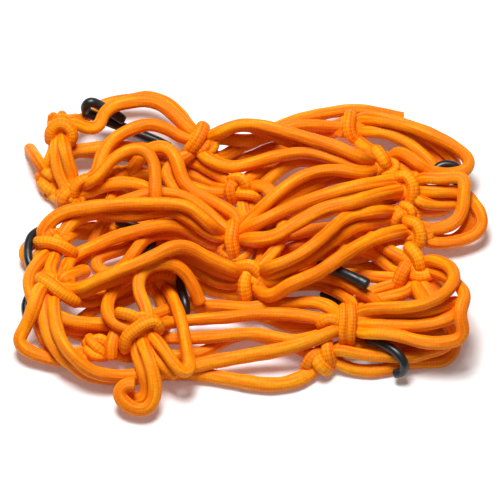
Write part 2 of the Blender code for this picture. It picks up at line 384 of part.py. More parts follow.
class Heap:
    """All strands, hooks and knots as points that are let down on each other.

    A point keeps its place across and up the view; `depth` is how far it lies
    towards the viewer, which is all that changes while the heap settles.
    """

    def __init__(self):
        self.lines = []
        self.reach = []
        self.held = []
        for strand in STRANDS:
            self.add_line(strand_corners(strand), CORD_REACH, (strand.start, strand.end))
        for hook in HOOKS.values():
            corners = [(*bend, hook.level)[:3] for bend in hook.bends]
            self.add_line(corners, HOOK_REACH + (BALL_REACH if hook.ball else 0), (None, None))
        self.line_count = len(self.lines)
        for name, knot in KNOTS.items():
            self.lines.append(np.array([[knot.across, knot.up, knot.level]], float))
            self.reach.append(KNOT_REACH)
            self.held.append((name, name))
        self.owner = np.concatenate([np.full(len(line), i) for i, line in enumerate(self.lines)])
        self.place = np.concatenate([np.arange(len(line)) for line in self.lines])
        self.points = np.vstack(self.lines)
        self.size = np.array(self.reach)[self.owner]
        self.first = np.searchsorted(self.owner, np.arange(len(self.lines)))
        self.sine = math.sin(VIEW_ELEVATION)
        self.cosine = math.cos(VIEW_ELEVATION)
        self.depth = (self.points[:, 2] - self.points[:, 1] * self.cosine) / self.sine
        floor = np.select([self.size == CORD_REACH, self.size == KNOT_REACH],
                          [CORD_FLAT, KNOT_FLAT], HOOK_FLAT)
        self.lowest = (floor - self.points[:, 1] * self.cosine) / self.sine

    def add_line(self, corners, reach, ends):
        self.lines.append(smooth_line(corners, SAMPLE))
        self.reach.append(reach)
        self.held.append(ends)

    def ties(self):
        """For each knot, its own point and the strand points that it holds."""
        groups = []
        for offset, (name, knot) in enumerate(KNOTS.items()):
            members = [self.first[self.line_count + offset]]
            for i in range(self.line_count):
                if name not in self.held[i]:
                    continue
                span = self.lines[i][:, :2] - (knot.across, knot.up)
                near = np.flatnonzero(np.linalg.norm(span, axis=1) < KNOT_GRIP)
                members.extend(self.first[i] + near)
            groups.append(np.array(members))
        return groups

    def contacts(self):
        """Pairs that cross or touch in the view: upper, lower and least depth apart."""
        flat = self.points[:, :2]
        spans = np.linalg.norm(flat[:, None] - flat[None], axis=2)
        least = self.size[:, None] + self.size[None] + GAP
        upper, lower = np.nonzero(np.triu(spans < least, 1))
        same = self.owner[upper] == self.owner[lower]
        close = np.abs(self.place[upper] - self.place[lower]) * SAMPLE < SELF_NEAR
        keep = ~(same & close) & ~self.share_knot(upper, lower, flat)
        upper, lower = upper[keep], lower[keep]
        apart = np.sqrt(least[upper, lower] ** 2 - spans[upper, lower] ** 2)
        above = self.which_is_above(upper, lower)
        swap = above < 0
        upper[swap], lower[swap] = lower[swap], upper[swap].copy()
        return upper, lower, apart

    def share_knot(self, one, two, flat):
        shared = np.zeros(len(one), bool)
        for name, knot in KNOTS.items():
            holds = np.array([name in ends for ends in self.held])
            near = np.linalg.norm(flat - (knot.across, knot.up), axis=1) < KNOT_CLEAR
            bound = holds[self.owner] & near
            shared |= bound[one] & bound[two]
        return shared

    def which_is_above(self, one, two):
        """+1 where the first of a pair lies above, the same along each crossing."""
        rise = self.depth[one] - self.depth[two]
        order = np.lexsort((self.place[one], self.owner[two], self.owner[one]))
        sign = np.empty(len(one))
        run = []
        for k in order:
            if run:
                last = run[-1]
                joined = (self.owner[one[k]] == self.owner[one[last]]
                          and self.owner[two[k]] == self.owner[two[last]]
                          and self.place[one[k]] - self.place[one[last]] <= 2)
                if not joined:
                    sign[run] = 1.0 if rise[run].mean() >= 0 else -1.0
                    run = []
            run.append(k)
        if run:
            sign[run] = 1.0 if rise[run].mean() >= 0 else -1.0
        return sign

    def settle(self):
        """Lets everything down along the line of sight until it rests."""
        upper, lower, apart = self.contacts()
        ties = self.ties()
        count = len(self.depth)
        inner = np.flatnonzero((self.owner[1:-1] == self.owner[:-2])
                               & (self.owner[1:-1] == self.owner[2:])) + 1
        touches = np.bincount(upper, minlength=count) + np.bincount(lower, minlength=count)
        share = 1.0 / np.maximum(touches, 1.0)
        for step in range(SETTLE_STEPS + RELEASE_STEPS):
            settling = step < SETTLE_STEPS
            if settling:
                self.depth -= SETTLE_DROP
            stiff = STIFFNESS if settling else RELEASE_STIFFNESS
            middle = 0.5 * (self.depth[inner - 1] + self.depth[inner + 1])
            self.depth[inner] += stiff * (middle - self.depth[inner])
            for _ in range(2):
                short = np.maximum(apart - (self.depth[upper] - self.depth[lower]), 0.0)
                move = np.bincount(upper, short, count) - np.bincount(lower, short, count)
                self.depth += PUSH * move * np.maximum(share, LEAST_SHARE)
                self.depth = np.maximum(self.depth, self.lowest)
            for members in ties:
                self.depth[members] = self.depth[members].mean()
        short = apart - (self.depth[upper] - self.depth[lower])
        return float(short.max())

    def in_space(self, index):
        """A line's points as (x, y, z) in millimetres, before centring."""
        first = self.first[index]
        last = first + len(self.lines[index])
        across, up = self.points[first:last, 0], self.points[first:last, 1]
        depth = self.depth[first:last]
        return np.column_stack([across, up * self.sine - depth * self.cosine,
                                up * self.cosine + depth * self.sine])


def ring_places(points):
    """The points of a line where its tube needs a ring: close in bends, sparse on runs."""
    steps = np.diff(points, axis=0)
    lengths = np.linalg.norm(steps, axis=1)
    heading = steps / lengths[:, None]
    kept = [0]
    gone = turned = 0.0
    for i in range(1, len(points) - 1):
        gone += lengths[i - 1]
        cosine = float(np.clip(heading[i - 1] @ heading[i], -1.0, 1.0))
        turned += math.acos(cosine)
        next_turn = turned + (math.acos(float(np.clip(heading[i] @ heading[i + 1], -1.0, 1.0)))
                              if i + 1 < len(heading) else 0.0)
        if gone >= RING_SHORT and (next_turn > RING_TURN or gone + lengths[i] > RING_LONG):
            kept.append(i)
            gone = turned = 0.0
    if gone + lengths[-1] < RING_SHORT and len(kept) > 1:
        kept.pop()
    kept.append(len(points) - 1)
    return points[kept]


def tube(target, points, radius, sides, end_ball=0.0):
    """Adds a closed tube with a flat side down to a bmesh; points in millimetres."""
    spine = [Vector(point) * MM for point in points]
    radii = [radius * MM] * len(spine)
    if end_ball:
        tip = (spine[-1] - spine[-2]).normalized()
        centre = spine[-1]
        spine[-1:] = [centre - tip * end_ball * MM * 0.9, centre - tip * end_ball * MM * 0.5,
                      centre + tip * end_ball * MM * 0.3, centre + tip * end_ball * MM]
        radii[-1:] = [radius * MM, end_ball * MM, end_ball * MM, end_ball * 0.5 * MM]
    rings = []
    side = None
    for i, centre in enumerate(spine):
        ahead = spine[min(i + 1, len(spine) - 1)] - spine[max(i - 1, 0)]
        ahead.normalize()
        level_side = ahead.cross(Vector((0, 0, 1)))
        if level_side.length > STEEP:
            level_side.normalize()
            side = level_side if side is None or side.dot(level_side) > -0.2 else -level_side
        elif side is None:
            side = ahead.orthogonal().normalized()
        across = (side - ahead * side.dot(ahead)).normalized()
        upward = across.cross(ahead)
        ring = []
        for k in range(sides):
            angle = 2 * math.pi * (k + 0.5) / sides - math.pi / 2
            offset = across * math.cos(angle) + upward * math.sin(angle)
            ring.append(target.verts.new(centre + offset * radii[i]))
        rings.append(ring)
    for near, far in zip(rings, rings[1:]):
        for k in range(sides):
            j = (k + 1) % sides
            target.faces.new((near[k], near[j], far[j], far[k]))
    target.faces.new(rings[0][::-1])
    target.faces.new(rings[-1])


# A knot's lump before its ridges are raised: half sizes along the run, across
# it and towards the viewer, in millimetres
BAND_LUMP = (5.4, 8.4, 5.0)
BAND_RISE = 0.42
PLAIT_LUMP = (7.8, 7.8, 5.4)
PLAIT_RISE = 0.2
PLAIT_LOBES = 4


def knot_frame(knot, centre):
    """Places a knot's own frame: its run turned in the view, its face to the viewer."""
    sine, cosine = math.sin(VIEW_ELEVATION), math.cos(VIEW_ELEVATION)
    up_view = Vector((0, sine, cosine))
    to_viewer = Vector((0, -cosine, sine))
    turn = math.radians(knot.turn)
    run = Vector((1, 0, 0)) * math.cos(turn) + up_view * math.sin(turn)
    across = to_viewer.cross(run)
    frame = Matrix((run, across, to_viewer)).transposed().to_4x4()
    frame.translation = Vector(centre)
    return frame


def raise_ridges(face, verts):
    """Turns a unit sphere into a knot: one band across the run, or a ring of lobes."""
    for vert in verts:
        x, y, z = vert.co
        if face == "band":
            # the sphere's poles lie across the run; the band bulges at front and back
            front = math.atan2(x, y)
            rise = 1 + BAND_RISE * abs(math.cos(front)) ** 4
            vert.co = (x * BAND_LUMP[0], z * BAND_LUMP[1], y * BAND_LUMP[2] * rise)
        else:
            # the poles face the viewer; the lobes stand round them
            turn = PLAIT_LOBES * math.atan2(y, x)
            rise = 1 + PLAIT_RISE * math.cos(turn) * math.hypot(x, y)
            dimple = 1 - PLAIT_RISE * (z * z) ** 4
            vert.co = (x * PLAIT_LUMP[0] * rise, y * PLAIT_LUMP[1] * rise,
                       z * PLAIT_LUMP[2] * dimple)


def material(name, colour, roughness, metallic=0.0):
    """A plain Principled material."""
    made = bpy.data.materials.new(name)
    made.use_nodes = True
    shader = made.node_tree.nodes["Principled BSDF"]
    shader.inputs["Base Color"].default_value = (*colour, 1.0)
    shader.inputs["Roughness"].default_value = roughness
    shader.inputs["Metallic"].default_value = metallic
    return made


def solid(name, made, finish, collection=None):
    """An object from a finished bmesh, shaded smooth but for its sharp edges."""
    bmesh.ops.recalc_face_normals(made, faces=made.faces)
    mesh = bpy.data.meshes.new(name)
    made.to_mesh(mesh)
    made.free()
    mesh.shade_smooth()
    mesh.set_sharp_from_angle(angle=math.radians(50))
    mesh.materials.append(finish)
    thing = bpy.data.objects.new(name, mesh)
    (collection or bpy.context.scene.collection).objects.link(thing)
    return thing


def knot_solid(name, knot, centre, finish, collection):
    """A knot as one ridged lump, fused with the net later."""
    made = bmesh.new()
    segments, rings = (10, 6) if knot.face == "band" else (16, 6)
    bmesh.ops.create_uvsphere(made, u_segments=segments, v_segments=rings, radius=1.0)
    raise_ridges(knot.face, made.verts)
    bmesh.ops.transform(made, matrix=Matrix.Scale(MM, 4) @ knot_frame(knot, centre),
                        verts=made.verts)
    return solid(name, made, finish, collection)


def apply_modifiers(thing):
    """Gives an object its evaluated mesh and clears its modifiers."""
    graph = bpy.context.evaluated_depsgraph_get()
    mesh = bpy.data.meshes.new_from_object(thing.evaluated_get(graph))
    thing.modifiers.clear()
    thing.data = mesh


def keep_largest_shell(made):
    """Drops every closed pocket and crumb, keeping the net's one outer skin."""
    unseen = set(made.verts)
    shells = []
    while unseen:
        front = [unseen.pop()]
        shell = list(front)
        while front:
            for edge in front.pop().link_edges:
                for vert in edge.verts:
                    if vert in unseen:
                        unseen.remove(vert)
                        shell.append(vert)
                        front.append(vert)
        shells.append(shell)
    shells.sort(key=len)
    for shell in shells[:-1]:
        bmesh.ops.delete(made, geom=shell, context="VERTS")


def opposite(face, edge):
    return next(vert for vert in face.verts if vert not in edge.verts)


def runs_forward(face, edge):
    """Whether a triangle goes round from the edge's first corner to its second."""
    verts = list(face.verts)
    return verts[(verts.index(edge.verts[0]) + 1) % 3] is edge.verts[1]


def turn_doubled_diagonals(made):
    """Where the diagonals of two faces fell on the same corners, turns one of them."""
    doubled = [edge for edge in made.edges if len(edge.link_faces) == 4]
    for edge in doubled:
        first, *others = edge.link_faces
        mates = [face for face in others if runs_forward(face, edge) != runs_forward(first, edge)]
        mate = max(mates, key=lambda face: face.normal.dot(first.normal))
        rest = [face for face in others if face is not mate]
        for pair in ((first, mate), rest):
            one, two = (opposite(face, edge) for face in pair)
            if one is two or made.edges.get((one, two)):
                continue
            start, end = edge.verts if runs_forward(pair[0], edge) else reversed(edge.verts)
            for face in pair:
                made.faces.remove(face)
            made.faces.new((start, two, one))
            made.faces.new((two, end, one))
            break
    made.normal_update()
    return bool(doubled)


def clean_skin(mesh):
    """Leaves the fused net one closed skin of triangles."""
    made = bmesh.new()
    made.from_mesh(mesh)
    keep_largest_shell(made)
    bmesh.ops.triangulate(made, faces=made.faces)
    for _ in range(DIAGONAL_PASSES):
        if not turn_doubled_diagonals(made):
            break
    made.to_mesh(mesh)
    made.free()


def press_flat(mesh):
    """Presses what meets the table flat on it."""
    for vert in mesh.vertices:
        if vert.co.z < PRESS * MM:
            vert.co.z = 0.0


def clear_scene():
    for thing in list(bpy.data.objects):
        bpy.data.objects.remove(thing, do_unlink=True)


def laid_lines():
    """The settled heap, and its lines in millimetres, centred over the origin."""
    heap = Heap()
    heap.settle()
    lines = [heap.in_space(i) for i in range(len(heap.lines))]
    every = np.vstack(lines[:heap.line_count])
    middle = (every.min(axis=0) + every.max(axis=0)) / 2
    shift = np.array((middle[0], middle[1], 0.0))
    return heap, [line - shift for line in lines]


def main():
    clear_scene()
    orange = material("cord_orange", (0.95, 0.32, 0.02), 0.6)
    black = material("hook_black", (0.012, 0.013, 0.015), 0.42)
    heap, lines = laid_lines()
    parts = bpy.data.collections.new("net_parts")
    bpy.context.scene.collection.children.link(parts)
    helpers = []
    for i in range(len(STRANDS)):
        made = bmesh.new()
        tube(made, ring_places(lines[i]), CORD_RADIUS, CORD_SIDES)
        helpers.append(solid(f"strand_{i:02d}", made, orange, parts))
    for offset, (name, knot) in enumerate(KNOTS.items()):
        centre = lines[heap.line_count + offset][0]
        helpers.append(knot_solid(f"knot_{name}", knot, centre, orange, parts))

    for i, (name, hook) in enumerate(HOOKS.items()):
        made = bmesh.new()
        points = ring_places(lines[len(STRANDS) + i])
        tube(made, points, HOOK_RADIUS, HOOK_SIDES, end_ball=hook.ball)
        solid(name, made, black)

    net = helpers.pop(0)
    parts.objects.unlink(net)
    bpy.context.scene.collection.objects.link(net)
    net.name = "net"
    fuse = net.modifiers.new("fuse", "BOOLEAN")
    fuse.operation = "UNION"
    fuse.operand_type = "COLLECTION"
    fuse.collection = parts
    fuse.solver = "EXACT"
    apply_modifiers(net)
    for helper in helpers:
        bpy.data.objects.remove(helper, do_unlink=True)
    bpy.data.collections.remove(parts)
    clean_skin(net.data)
    thin = net.modifiers.new("thin", "DECIMATE")
    thin.ratio = min(1.0, NET_TRIANGLES / len(net.data.polygons))
    apply_modifiers(net)
    press_flat(net.data)


main()
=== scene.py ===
"""Looks of an elastic cargo net with its hooks, lying folded in a heap.

The heap is laid out as it is seen from the front at VIEW_ELEVATION: every knot,
every bend of a strand and every turn of a knot is given by its place across and
up that view, in millimetres.  The strands are let down along the line of sight
until they rest on the table or on one another, as in the CAD part, and are then
made as round braided cord.  Objects are in metres, +Z up, with the origin on the
table under the middle of the heap.
"""
import functools
import math
from collections import namedtuple

import bmesh
import bpy
import numpy as np
from mathutils import Matrix, Vector


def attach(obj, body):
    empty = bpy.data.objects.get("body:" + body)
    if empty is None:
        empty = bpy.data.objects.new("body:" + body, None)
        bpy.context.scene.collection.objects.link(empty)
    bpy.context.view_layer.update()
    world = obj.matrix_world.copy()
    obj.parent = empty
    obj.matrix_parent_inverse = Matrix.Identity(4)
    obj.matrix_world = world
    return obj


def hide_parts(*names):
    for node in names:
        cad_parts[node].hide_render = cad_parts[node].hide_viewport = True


bl_info = {
    "name": "Folded Cargo Net",
    "version": (1, 0, 0),
    "blender": (4, 5, 0),
    "location": "3D View > Sidebar > Cargo Net",
    "description": "Builds a folded elastic cargo net, its knots, its hooks and its stage",
    "category": "Add Mesh",
}

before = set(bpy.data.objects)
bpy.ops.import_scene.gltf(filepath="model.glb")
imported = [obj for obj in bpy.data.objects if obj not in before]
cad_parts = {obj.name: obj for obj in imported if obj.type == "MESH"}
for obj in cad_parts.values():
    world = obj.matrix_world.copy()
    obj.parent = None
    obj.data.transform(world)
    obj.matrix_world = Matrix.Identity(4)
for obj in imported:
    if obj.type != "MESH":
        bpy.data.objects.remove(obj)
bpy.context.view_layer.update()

MM = 0.001
VIEW_ELEVATION = math.radians(55)
UP_VIEW = np.array((0, math.sin(VIEW_ELEVATION), math.cos(VIEW_ELEVATION)))
TO_VIEWER = np.array((0, -math.cos(VIEW_ELEVATION), math.sin(VIEW_ELEVATION)))

# Room that the strands keep as they are let down, as in the CAD part
CORD_REACH = 3.05            # half thickness kept clear round a strand
CORD_FLAT = 3.2 * math.cos(math.pi / 6)
HOOK_REACH = 2.6
HOOK_FLAT = 2.0 * math.cos(math.pi / 8)
BALL_REACH = 0.8             # more room round a hook with a moulded end
KNOT_REACH = 7.2
KNOT_FLAT = 6.3              # height of a knot's middle when it lies on the table
GAP = 0.9                    # air beyond that
SAMPLE = 3.0                 # spacing of the points that are let down
SPLINE_STEPS = 24
SELF_NEAR = 5 * CORD_REACH   # along a strand, where it doesn't rest on itself
KNOT_ROOT = 4.2              # how near a knot's middle a strand begins
KNOT_GRIP = 7.0              # points this near are held by the knot
KNOT_CLEAR = 13.0            # points this near don't push others of the same knot
SETTLE_STEPS = 900
RELEASE_STEPS = 900
SETTLE_DROP = 0.12           # a step
STIFFNESS = 0.45
RELEASE_STIFFNESS = 0.12
PUSH = 0.9                   # share of a shortfall that is made up at once
LEAST_SHARE = 0.12

Knot = namedtuple("Knot", "across up level turn face")
KNOTS = {
    "A": Knot(-95.5, 56.5, 30, -80, "band"),
    "B": Knot(-100.5, 28.5, 14, -60, "plait"),
    "C": Knot(-89.0, 24.0, 30, -15, "band"),
    "S": Knot(-66.0, 31.0, 18, 20, "plait"),
    "D": Knot(-26.0, 51.0, 34, -27, "band"),
    "K": Knot(-5.0, 25.5, 24, -20, "plait"),
    "E": Knot(50.5, 57.0, 26, 10, "band"),
    "F": Knot(67.0, 38.0, 32, -30, "plait"),
    "G": Knot(79.5, 26.0, 36, 8, "band"),
    "J": Knot(77.0, 12.0, 20, 20, "plait"),
    "I": Knot(83.5, 3.5, 32, 18, "band"),
    "R": Knot(82.0, -15.0, 24, -50, "plait"),
    "H": Knot(-8.5, 0.5, 38, -5, "band"),
    "N": Knot(1.0, -19.5, 34, 5, "plait"),
    "L": Knot(-97.0, -2.0, 34, 67, "band"),
    "M": Knot(-95.0, -23.0, 34, 57, "band"),
    "T": Knot(-55.0, -45.0, 28, -60, "band"),
    "O": Knot(-46.0, -20.0, 18, -70, "plait"),
    "P": Knot(48.7, -42.0, 26, 3, "band"),
    "Q": Knot(35.0, -60.0, 12, 10, "plait"),
    "V": Knot(-76.0, -53.5, 7, 0, "plait"),
}

# Strands: the knots at their two ends (None is a cut end), the level of the
# stretch between them, and their bends as (across, up) or (across, up, level)
Strand = namedtuple("Strand", "start end level bends")
TOP_LEFT = (
    Strand("A", "D", 30, ((-90, 59.5), (-84.5, 57.2), (-79.5, 55.8), (-75.3, 57.3), (-74, 62), (-70, 66.2),
        (-62, 68.8), (-50, 69.5), (-42, 65.9), (-35, 59.4))),
    Strand("A", "D", 26, ((-90, 60.5), (-85.5, 59.6), (-82, 62), (-77.5, 65.8), (-69, 69.2), (-60, 70.4),
        (-52, 72), (-44, 69.8), (-36, 64))),
    Strand("C", "D", 36, ((-77, 33), (-74.4, 41.6), (-69, 49.6), (-60, 55.2), (-50, 57.9), (-42.4, 55.8),
        (-32.6, 50.8))),
    Strand("B", "K", 14, ((-96, 39), (-90, 44.3), (-80, 45.6), (-70, 46.8), (-60, 46.2), (-50, 45),
        (-42, 44.5), (-34, 41.3), (-25, 38), (-17, 33.5))),
    Strand("B", "K", 10, ((-94.5, 38), (-88.5, 43.6), (-72, 43.6), (-58, 41.6), (-45, 38.5), (-33, 34.3),
        (-26, 31.8), (-19, 28.5))),
    Strand("A", "C", 28, ((-93.6, 50), (-91.6, 42), (-90, 36), (-88.6, 31))),
    Strand("A", "C", 26, ((-97, 48), (-97, 41), (-95.8, 34), (-93, 27.5))),
    Strand("A", "B", 18, ((-97.5, 47), (-99, 41.5), (-101.2, 36))),
    Strand("B", None, 20, ((-102.6, 34), (-105, 38), (-107.6, 41.8), (-110.2, 45.2))),
    Strand("B", "C", 22, ((-99.6, 24), (-95.2, 20.4))),
    Strand("C", "O", 40, ((-76, 32), (-70, 39), (-62, 44), (-55, 45.5), (-50, 42.5), (-47.6, 36),
        (-47.3, 24, 34), (-45.5, 12, 24), (-41, 3, 20), (-38.5, -3, 18), (-42, -12, 18))),
    Strand("S", "H", 34, ((-61, 33), (-57, 38), (-53.5, 42.5, 30), (-49.5, 45.8), (-43.5, 46.8),
        (-38.8, 43.6), (-36, 37.5), (-33.5, 30), (-28, 24, 28), (-20, 19.5, 26), (-12, 15.5, 28),
        (-6, 10.5, 34))),
    Strand("D", "H", 16, ((-29, 43.8), (-33, 41), (-38.6, 38.4), (-42, 33), (-38.5, 27), (-33, 19),
        (-24, 9.5, 22))),
    Strand("C", "H", 30, ((-82, 23.5), (-75, 26.5), (-64, 28.5), (-55, 27.3), (-46, 23.5), (-37, 17.5),
        (-26, 9, 24))),
    Strand("S", "C", 16, ((-73, 30), (-80, 27))),
    Strand("S", "K", 9, ((-59.5, 32.5), (-53.5, 33.5), (-47, 31.8), (-40, 29.5), (-30, 26.5), (-20, 23.8),
        (-12, 23.5))),
)
TOP_RIGHT = (
    Strand("D", "F", 38, ((-20, 52), (-15, 54.2), (-8, 57.2), (-2, 58), (5, 57.4), (20, 53.6), (30, 50.6),
        (42, 47), (52, 43), (60, 39.8))),
    Strand("D", "F", 30, ((-24.5, 43.5), (-18, 39), (-10, 36.5), (0, 38), (10, 41), (20, 43), (28, 43.6),
        (35, 42.6), (42, 40.5), (50, 38), (59, 35.5))),
    Strand("D", "F", 20, ((-15, 53), (-8, 56.8), (0, 57), (7, 54.6), (15, 51.2), (26, 47), (38, 42),
        (52, 37.5))),
    Strand("D", "E", 14, ((-14, 50.8), (-6, 50), (2, 50), (10, 52.5), (19, 56.3), (30, 57.4), (40, 57))),
    Strand("D", None, 10, ((-16, 41), (-10.5, 43.4), (-5, 46.8), (1.5, 49.3), (8, 53), (14, 56.5),
        (22, 59.5), (30, 61.7), (40, 63.8), (50, 65.1), (60, 64.5), (70, 62.6), (76.3, 61.2))),
    Strand("D", "F", 6, ((-18, 40), (-8, 39.6), (2, 42.2), (9, 45.4), (17, 46.6), (28, 45.2), (42, 40),
        (55, 37.5))),
    Strand("E", "F", 24, ((56, 61), (64, 60.7), (74, 58.5), (84, 55.5), (92, 52.2), (100, 48.1),
        (106.5, 43.6), (110.1, 38.8), (108, 34.8), (100, 33.2), (92, 33.9), (86, 36.6), (80, 41),
        (74.5, 43.8))),
    Strand("E", None, 20, ((57, 58), (67, 58), (76, 56), (84.5, 52.7), (92, 49), (98.3, 44.2),
        (102.3, 39.5), (103.5, 33, 14))),
    Strand("E", "F", 10, ((52.8, 51), (56, 47.8), (60.5, 45))),
    Strand("F", "G", 16, ((73, 37.5), (78.6, 35.4), (83, 32.4))),
    Strand(None, "E", 6, ((7, 54), (20, 54.6), (32, 53.6), (42, 54))),
    Strand("E", None, 12, ((57, 56.5), (68, 56), (78, 53.5), (87, 48.5), (93.5, 42.5), (98, 36, 10))),
    Strand("E", "J", 18, ((57, 54.7), (64, 54.5), (70, 53), (77.5, 49.5), (84.5, 44), (90, 39),
        (94, 33, 14), (98, 24, 10), (100, 17, 10), (94, 14.8, 12), (86, 14.5, 14))),
    Strand("G", "I", 34, ((86, 31), (95, 30.8), (105.2, 31.3), (107.3, 28.5, 28), (106.8, 22, 22),
        (106.2, 15, 22), (102.8, 9.3, 24), (97, 6.3, 28), (90, 5.2))),
    Strand("G", "I", 30, ((87, 24.7), (95, 24.2), (102.5, 24.2), (107.8, 22.6, 24), (111.9, 18.2, 12),
        (115.2, 13.5), (116.3, 8.5), (114.4, 4.2), (109, 0.9), (102.5, -0.9), (95, -1.6), (89, -1.1))),
    Strand("G", "I", 26, ((84.5, 19.5), (91, 18), (98, 17.9), (104.5, 18.2, 20), (109, 14.5, 8), (109.7, 9),
        (106.9, 3.5), (101.5, 0), (95.5, -0.3, 12), (90, 0.6))),
    Strand("H", "F", 34, ((0, 10.5), (4, 14), (10, 20), (17.5, 26), (24, 30.5), (30, 33.2), (36, 34.6),
        (45, 34.8), (57, 33.5))),
    Strand("H", "F", 26, ((2, 8), (9, 13.5), (17, 20), (27, 25.5), (35, 28.8), (42, 31.3), (53, 33.5))),
    Strand("K", "F", 14, ((3, 25.5), (9, 29.5), (15.5, 35.6), (23, 39.2), (36, 38.6), (51, 36))),
)
MIDDLE = (
    Strand("G", "H", 38, ((73, 29.7), (60, 28), (50, 26), (40, 23.3), (25, 18.3), (15, 14), (5, 9),
        (-2, 5.5))),
    Strand("G", "H", 36, ((74, 24.5), (65, 22.8), (59, 21), (50, 18.5), (41, 16.8), (35, 14.8), (30, 12),
        (20, 6.4), (12, 1.7), (2, 0.5))),
    Strand("J", "N", 24, ((72, 14), (65, 14.3), (55, 13), (50, 12), (45, 9.3), (40, 4.7), (32.5, -1.8),
        (27.5, -5.5), (22.5, -8.5), (16.5, -11.3), (9, -14))),
    Strand("J", "N", 18, ((72, 9.8), (65, 9), (55, 7), (45, 2.5), (38, -2.5), (28, -9.5), (18, -14.2),
        (9, -17.5))),
    Strand("I", "N", 34, ((77.5, 4.5), (74, 4), (65, 1.7), (55, -2.5), (45, -8.8), (35, -15.6),
        (27.5, -19.2), (20, -22.5), (13, -26.8), (8.5, -28.2), (5, -25.5))),
    Strand("N", "K", 22, ((4.5, -14), (9, -9), (13.5, -4), (16.3, 3), (15.5, 12), (12.5, 21), (8.5, 26.2),
        (4, 27.3))),
    Strand("L", "H", 30, ((-101, 7), (-94, 12.3), (-85, 14.8), (-75, 16.3), (-66, 18.3, 32),
        (-60, 20.3, 34), (-53, 22.4, 36), (-45, 23.5), (-36, 22.8), (-30, 20.5), (-25, 17), (-19, 12),
        (-13, 6.5))),
    Strand("L", "H", 40, ((-104, 3), (-101.2, 7.4), (-96.8, 11.8), (-90.5, 14.4), (-80, 16.2), (-70, 17.4),
        (-60, 17.9), (-50, 18.1), (-40, 18), (-32.5, 17), (-28, 14.6), (-22.5, 10), (-17, 5.2))),
    Strand("L", "H", 37, ((-93, 3.5), (-90, 7.8), (-85, 11.2), (-80, 12.7), (-74, 12.8), (-65, 12),
        (-55, 12.2), (-46, 13.9), (-40, 14.2), (-35, 12.8), (-30, 9.7), (-25, 6), (-19, 2.2))),
    Strand("M", "H", 30, ((-92.5, -15), (-89, -8.6), (-84, -6), (-75, -2), (-70, 0.4), (-60, 3.5),
        (-52, 5.4), (-45, 7), (-40, 7.4), (-35, 6.6), (-30, 4.2), (-24, 0.4), (-17, -1.6))),
    Strand(None, "H", 18, ((-57, -0.5), (-63, -4.4), (-70, -6.6), (-76.6, -9.5), (-76, -14.2),
        (-69.5, -16.6), (-63, -12.5), (-58, -6.5), (-53, 0, 20), (-44, 3.2, 22), (-35, 1.8), (-25, -3.5),
        (-17, -4))),
    Strand("M", "N", 38, ((-86, -24), (-75, -19.3), (-65, -15.2), (-55, -11.2), (-45, -6.5), (-39, -3.7),
        (-34, -3), (-29, -4.2), (-24, -7.2), (-17, -10.8), (-8, -14.8))),
    Strand("N", "T", 30, ((-7, -22), (-17.5, -20.8), (-22.5, -17.6), (-27.5, -14), (-33, -11.2),
        (-39, -11, 28), (-48, -13, 24), (-58, -17.5, 22), (-65.5, -22), (-70, -29), (-71.3, -35.5),
        (-68, -41), (-62.5, -43.5))),
    Strand("T", None, 32, ((-51, -38), (-53.2, -31), (-55.4, -25.5), (-55, -18.5), (-50.5, -13.4),
        (-44, -11.6), (-38, -12.3), (-32, -17), (-28, -24), (-25, -31.5))),
)
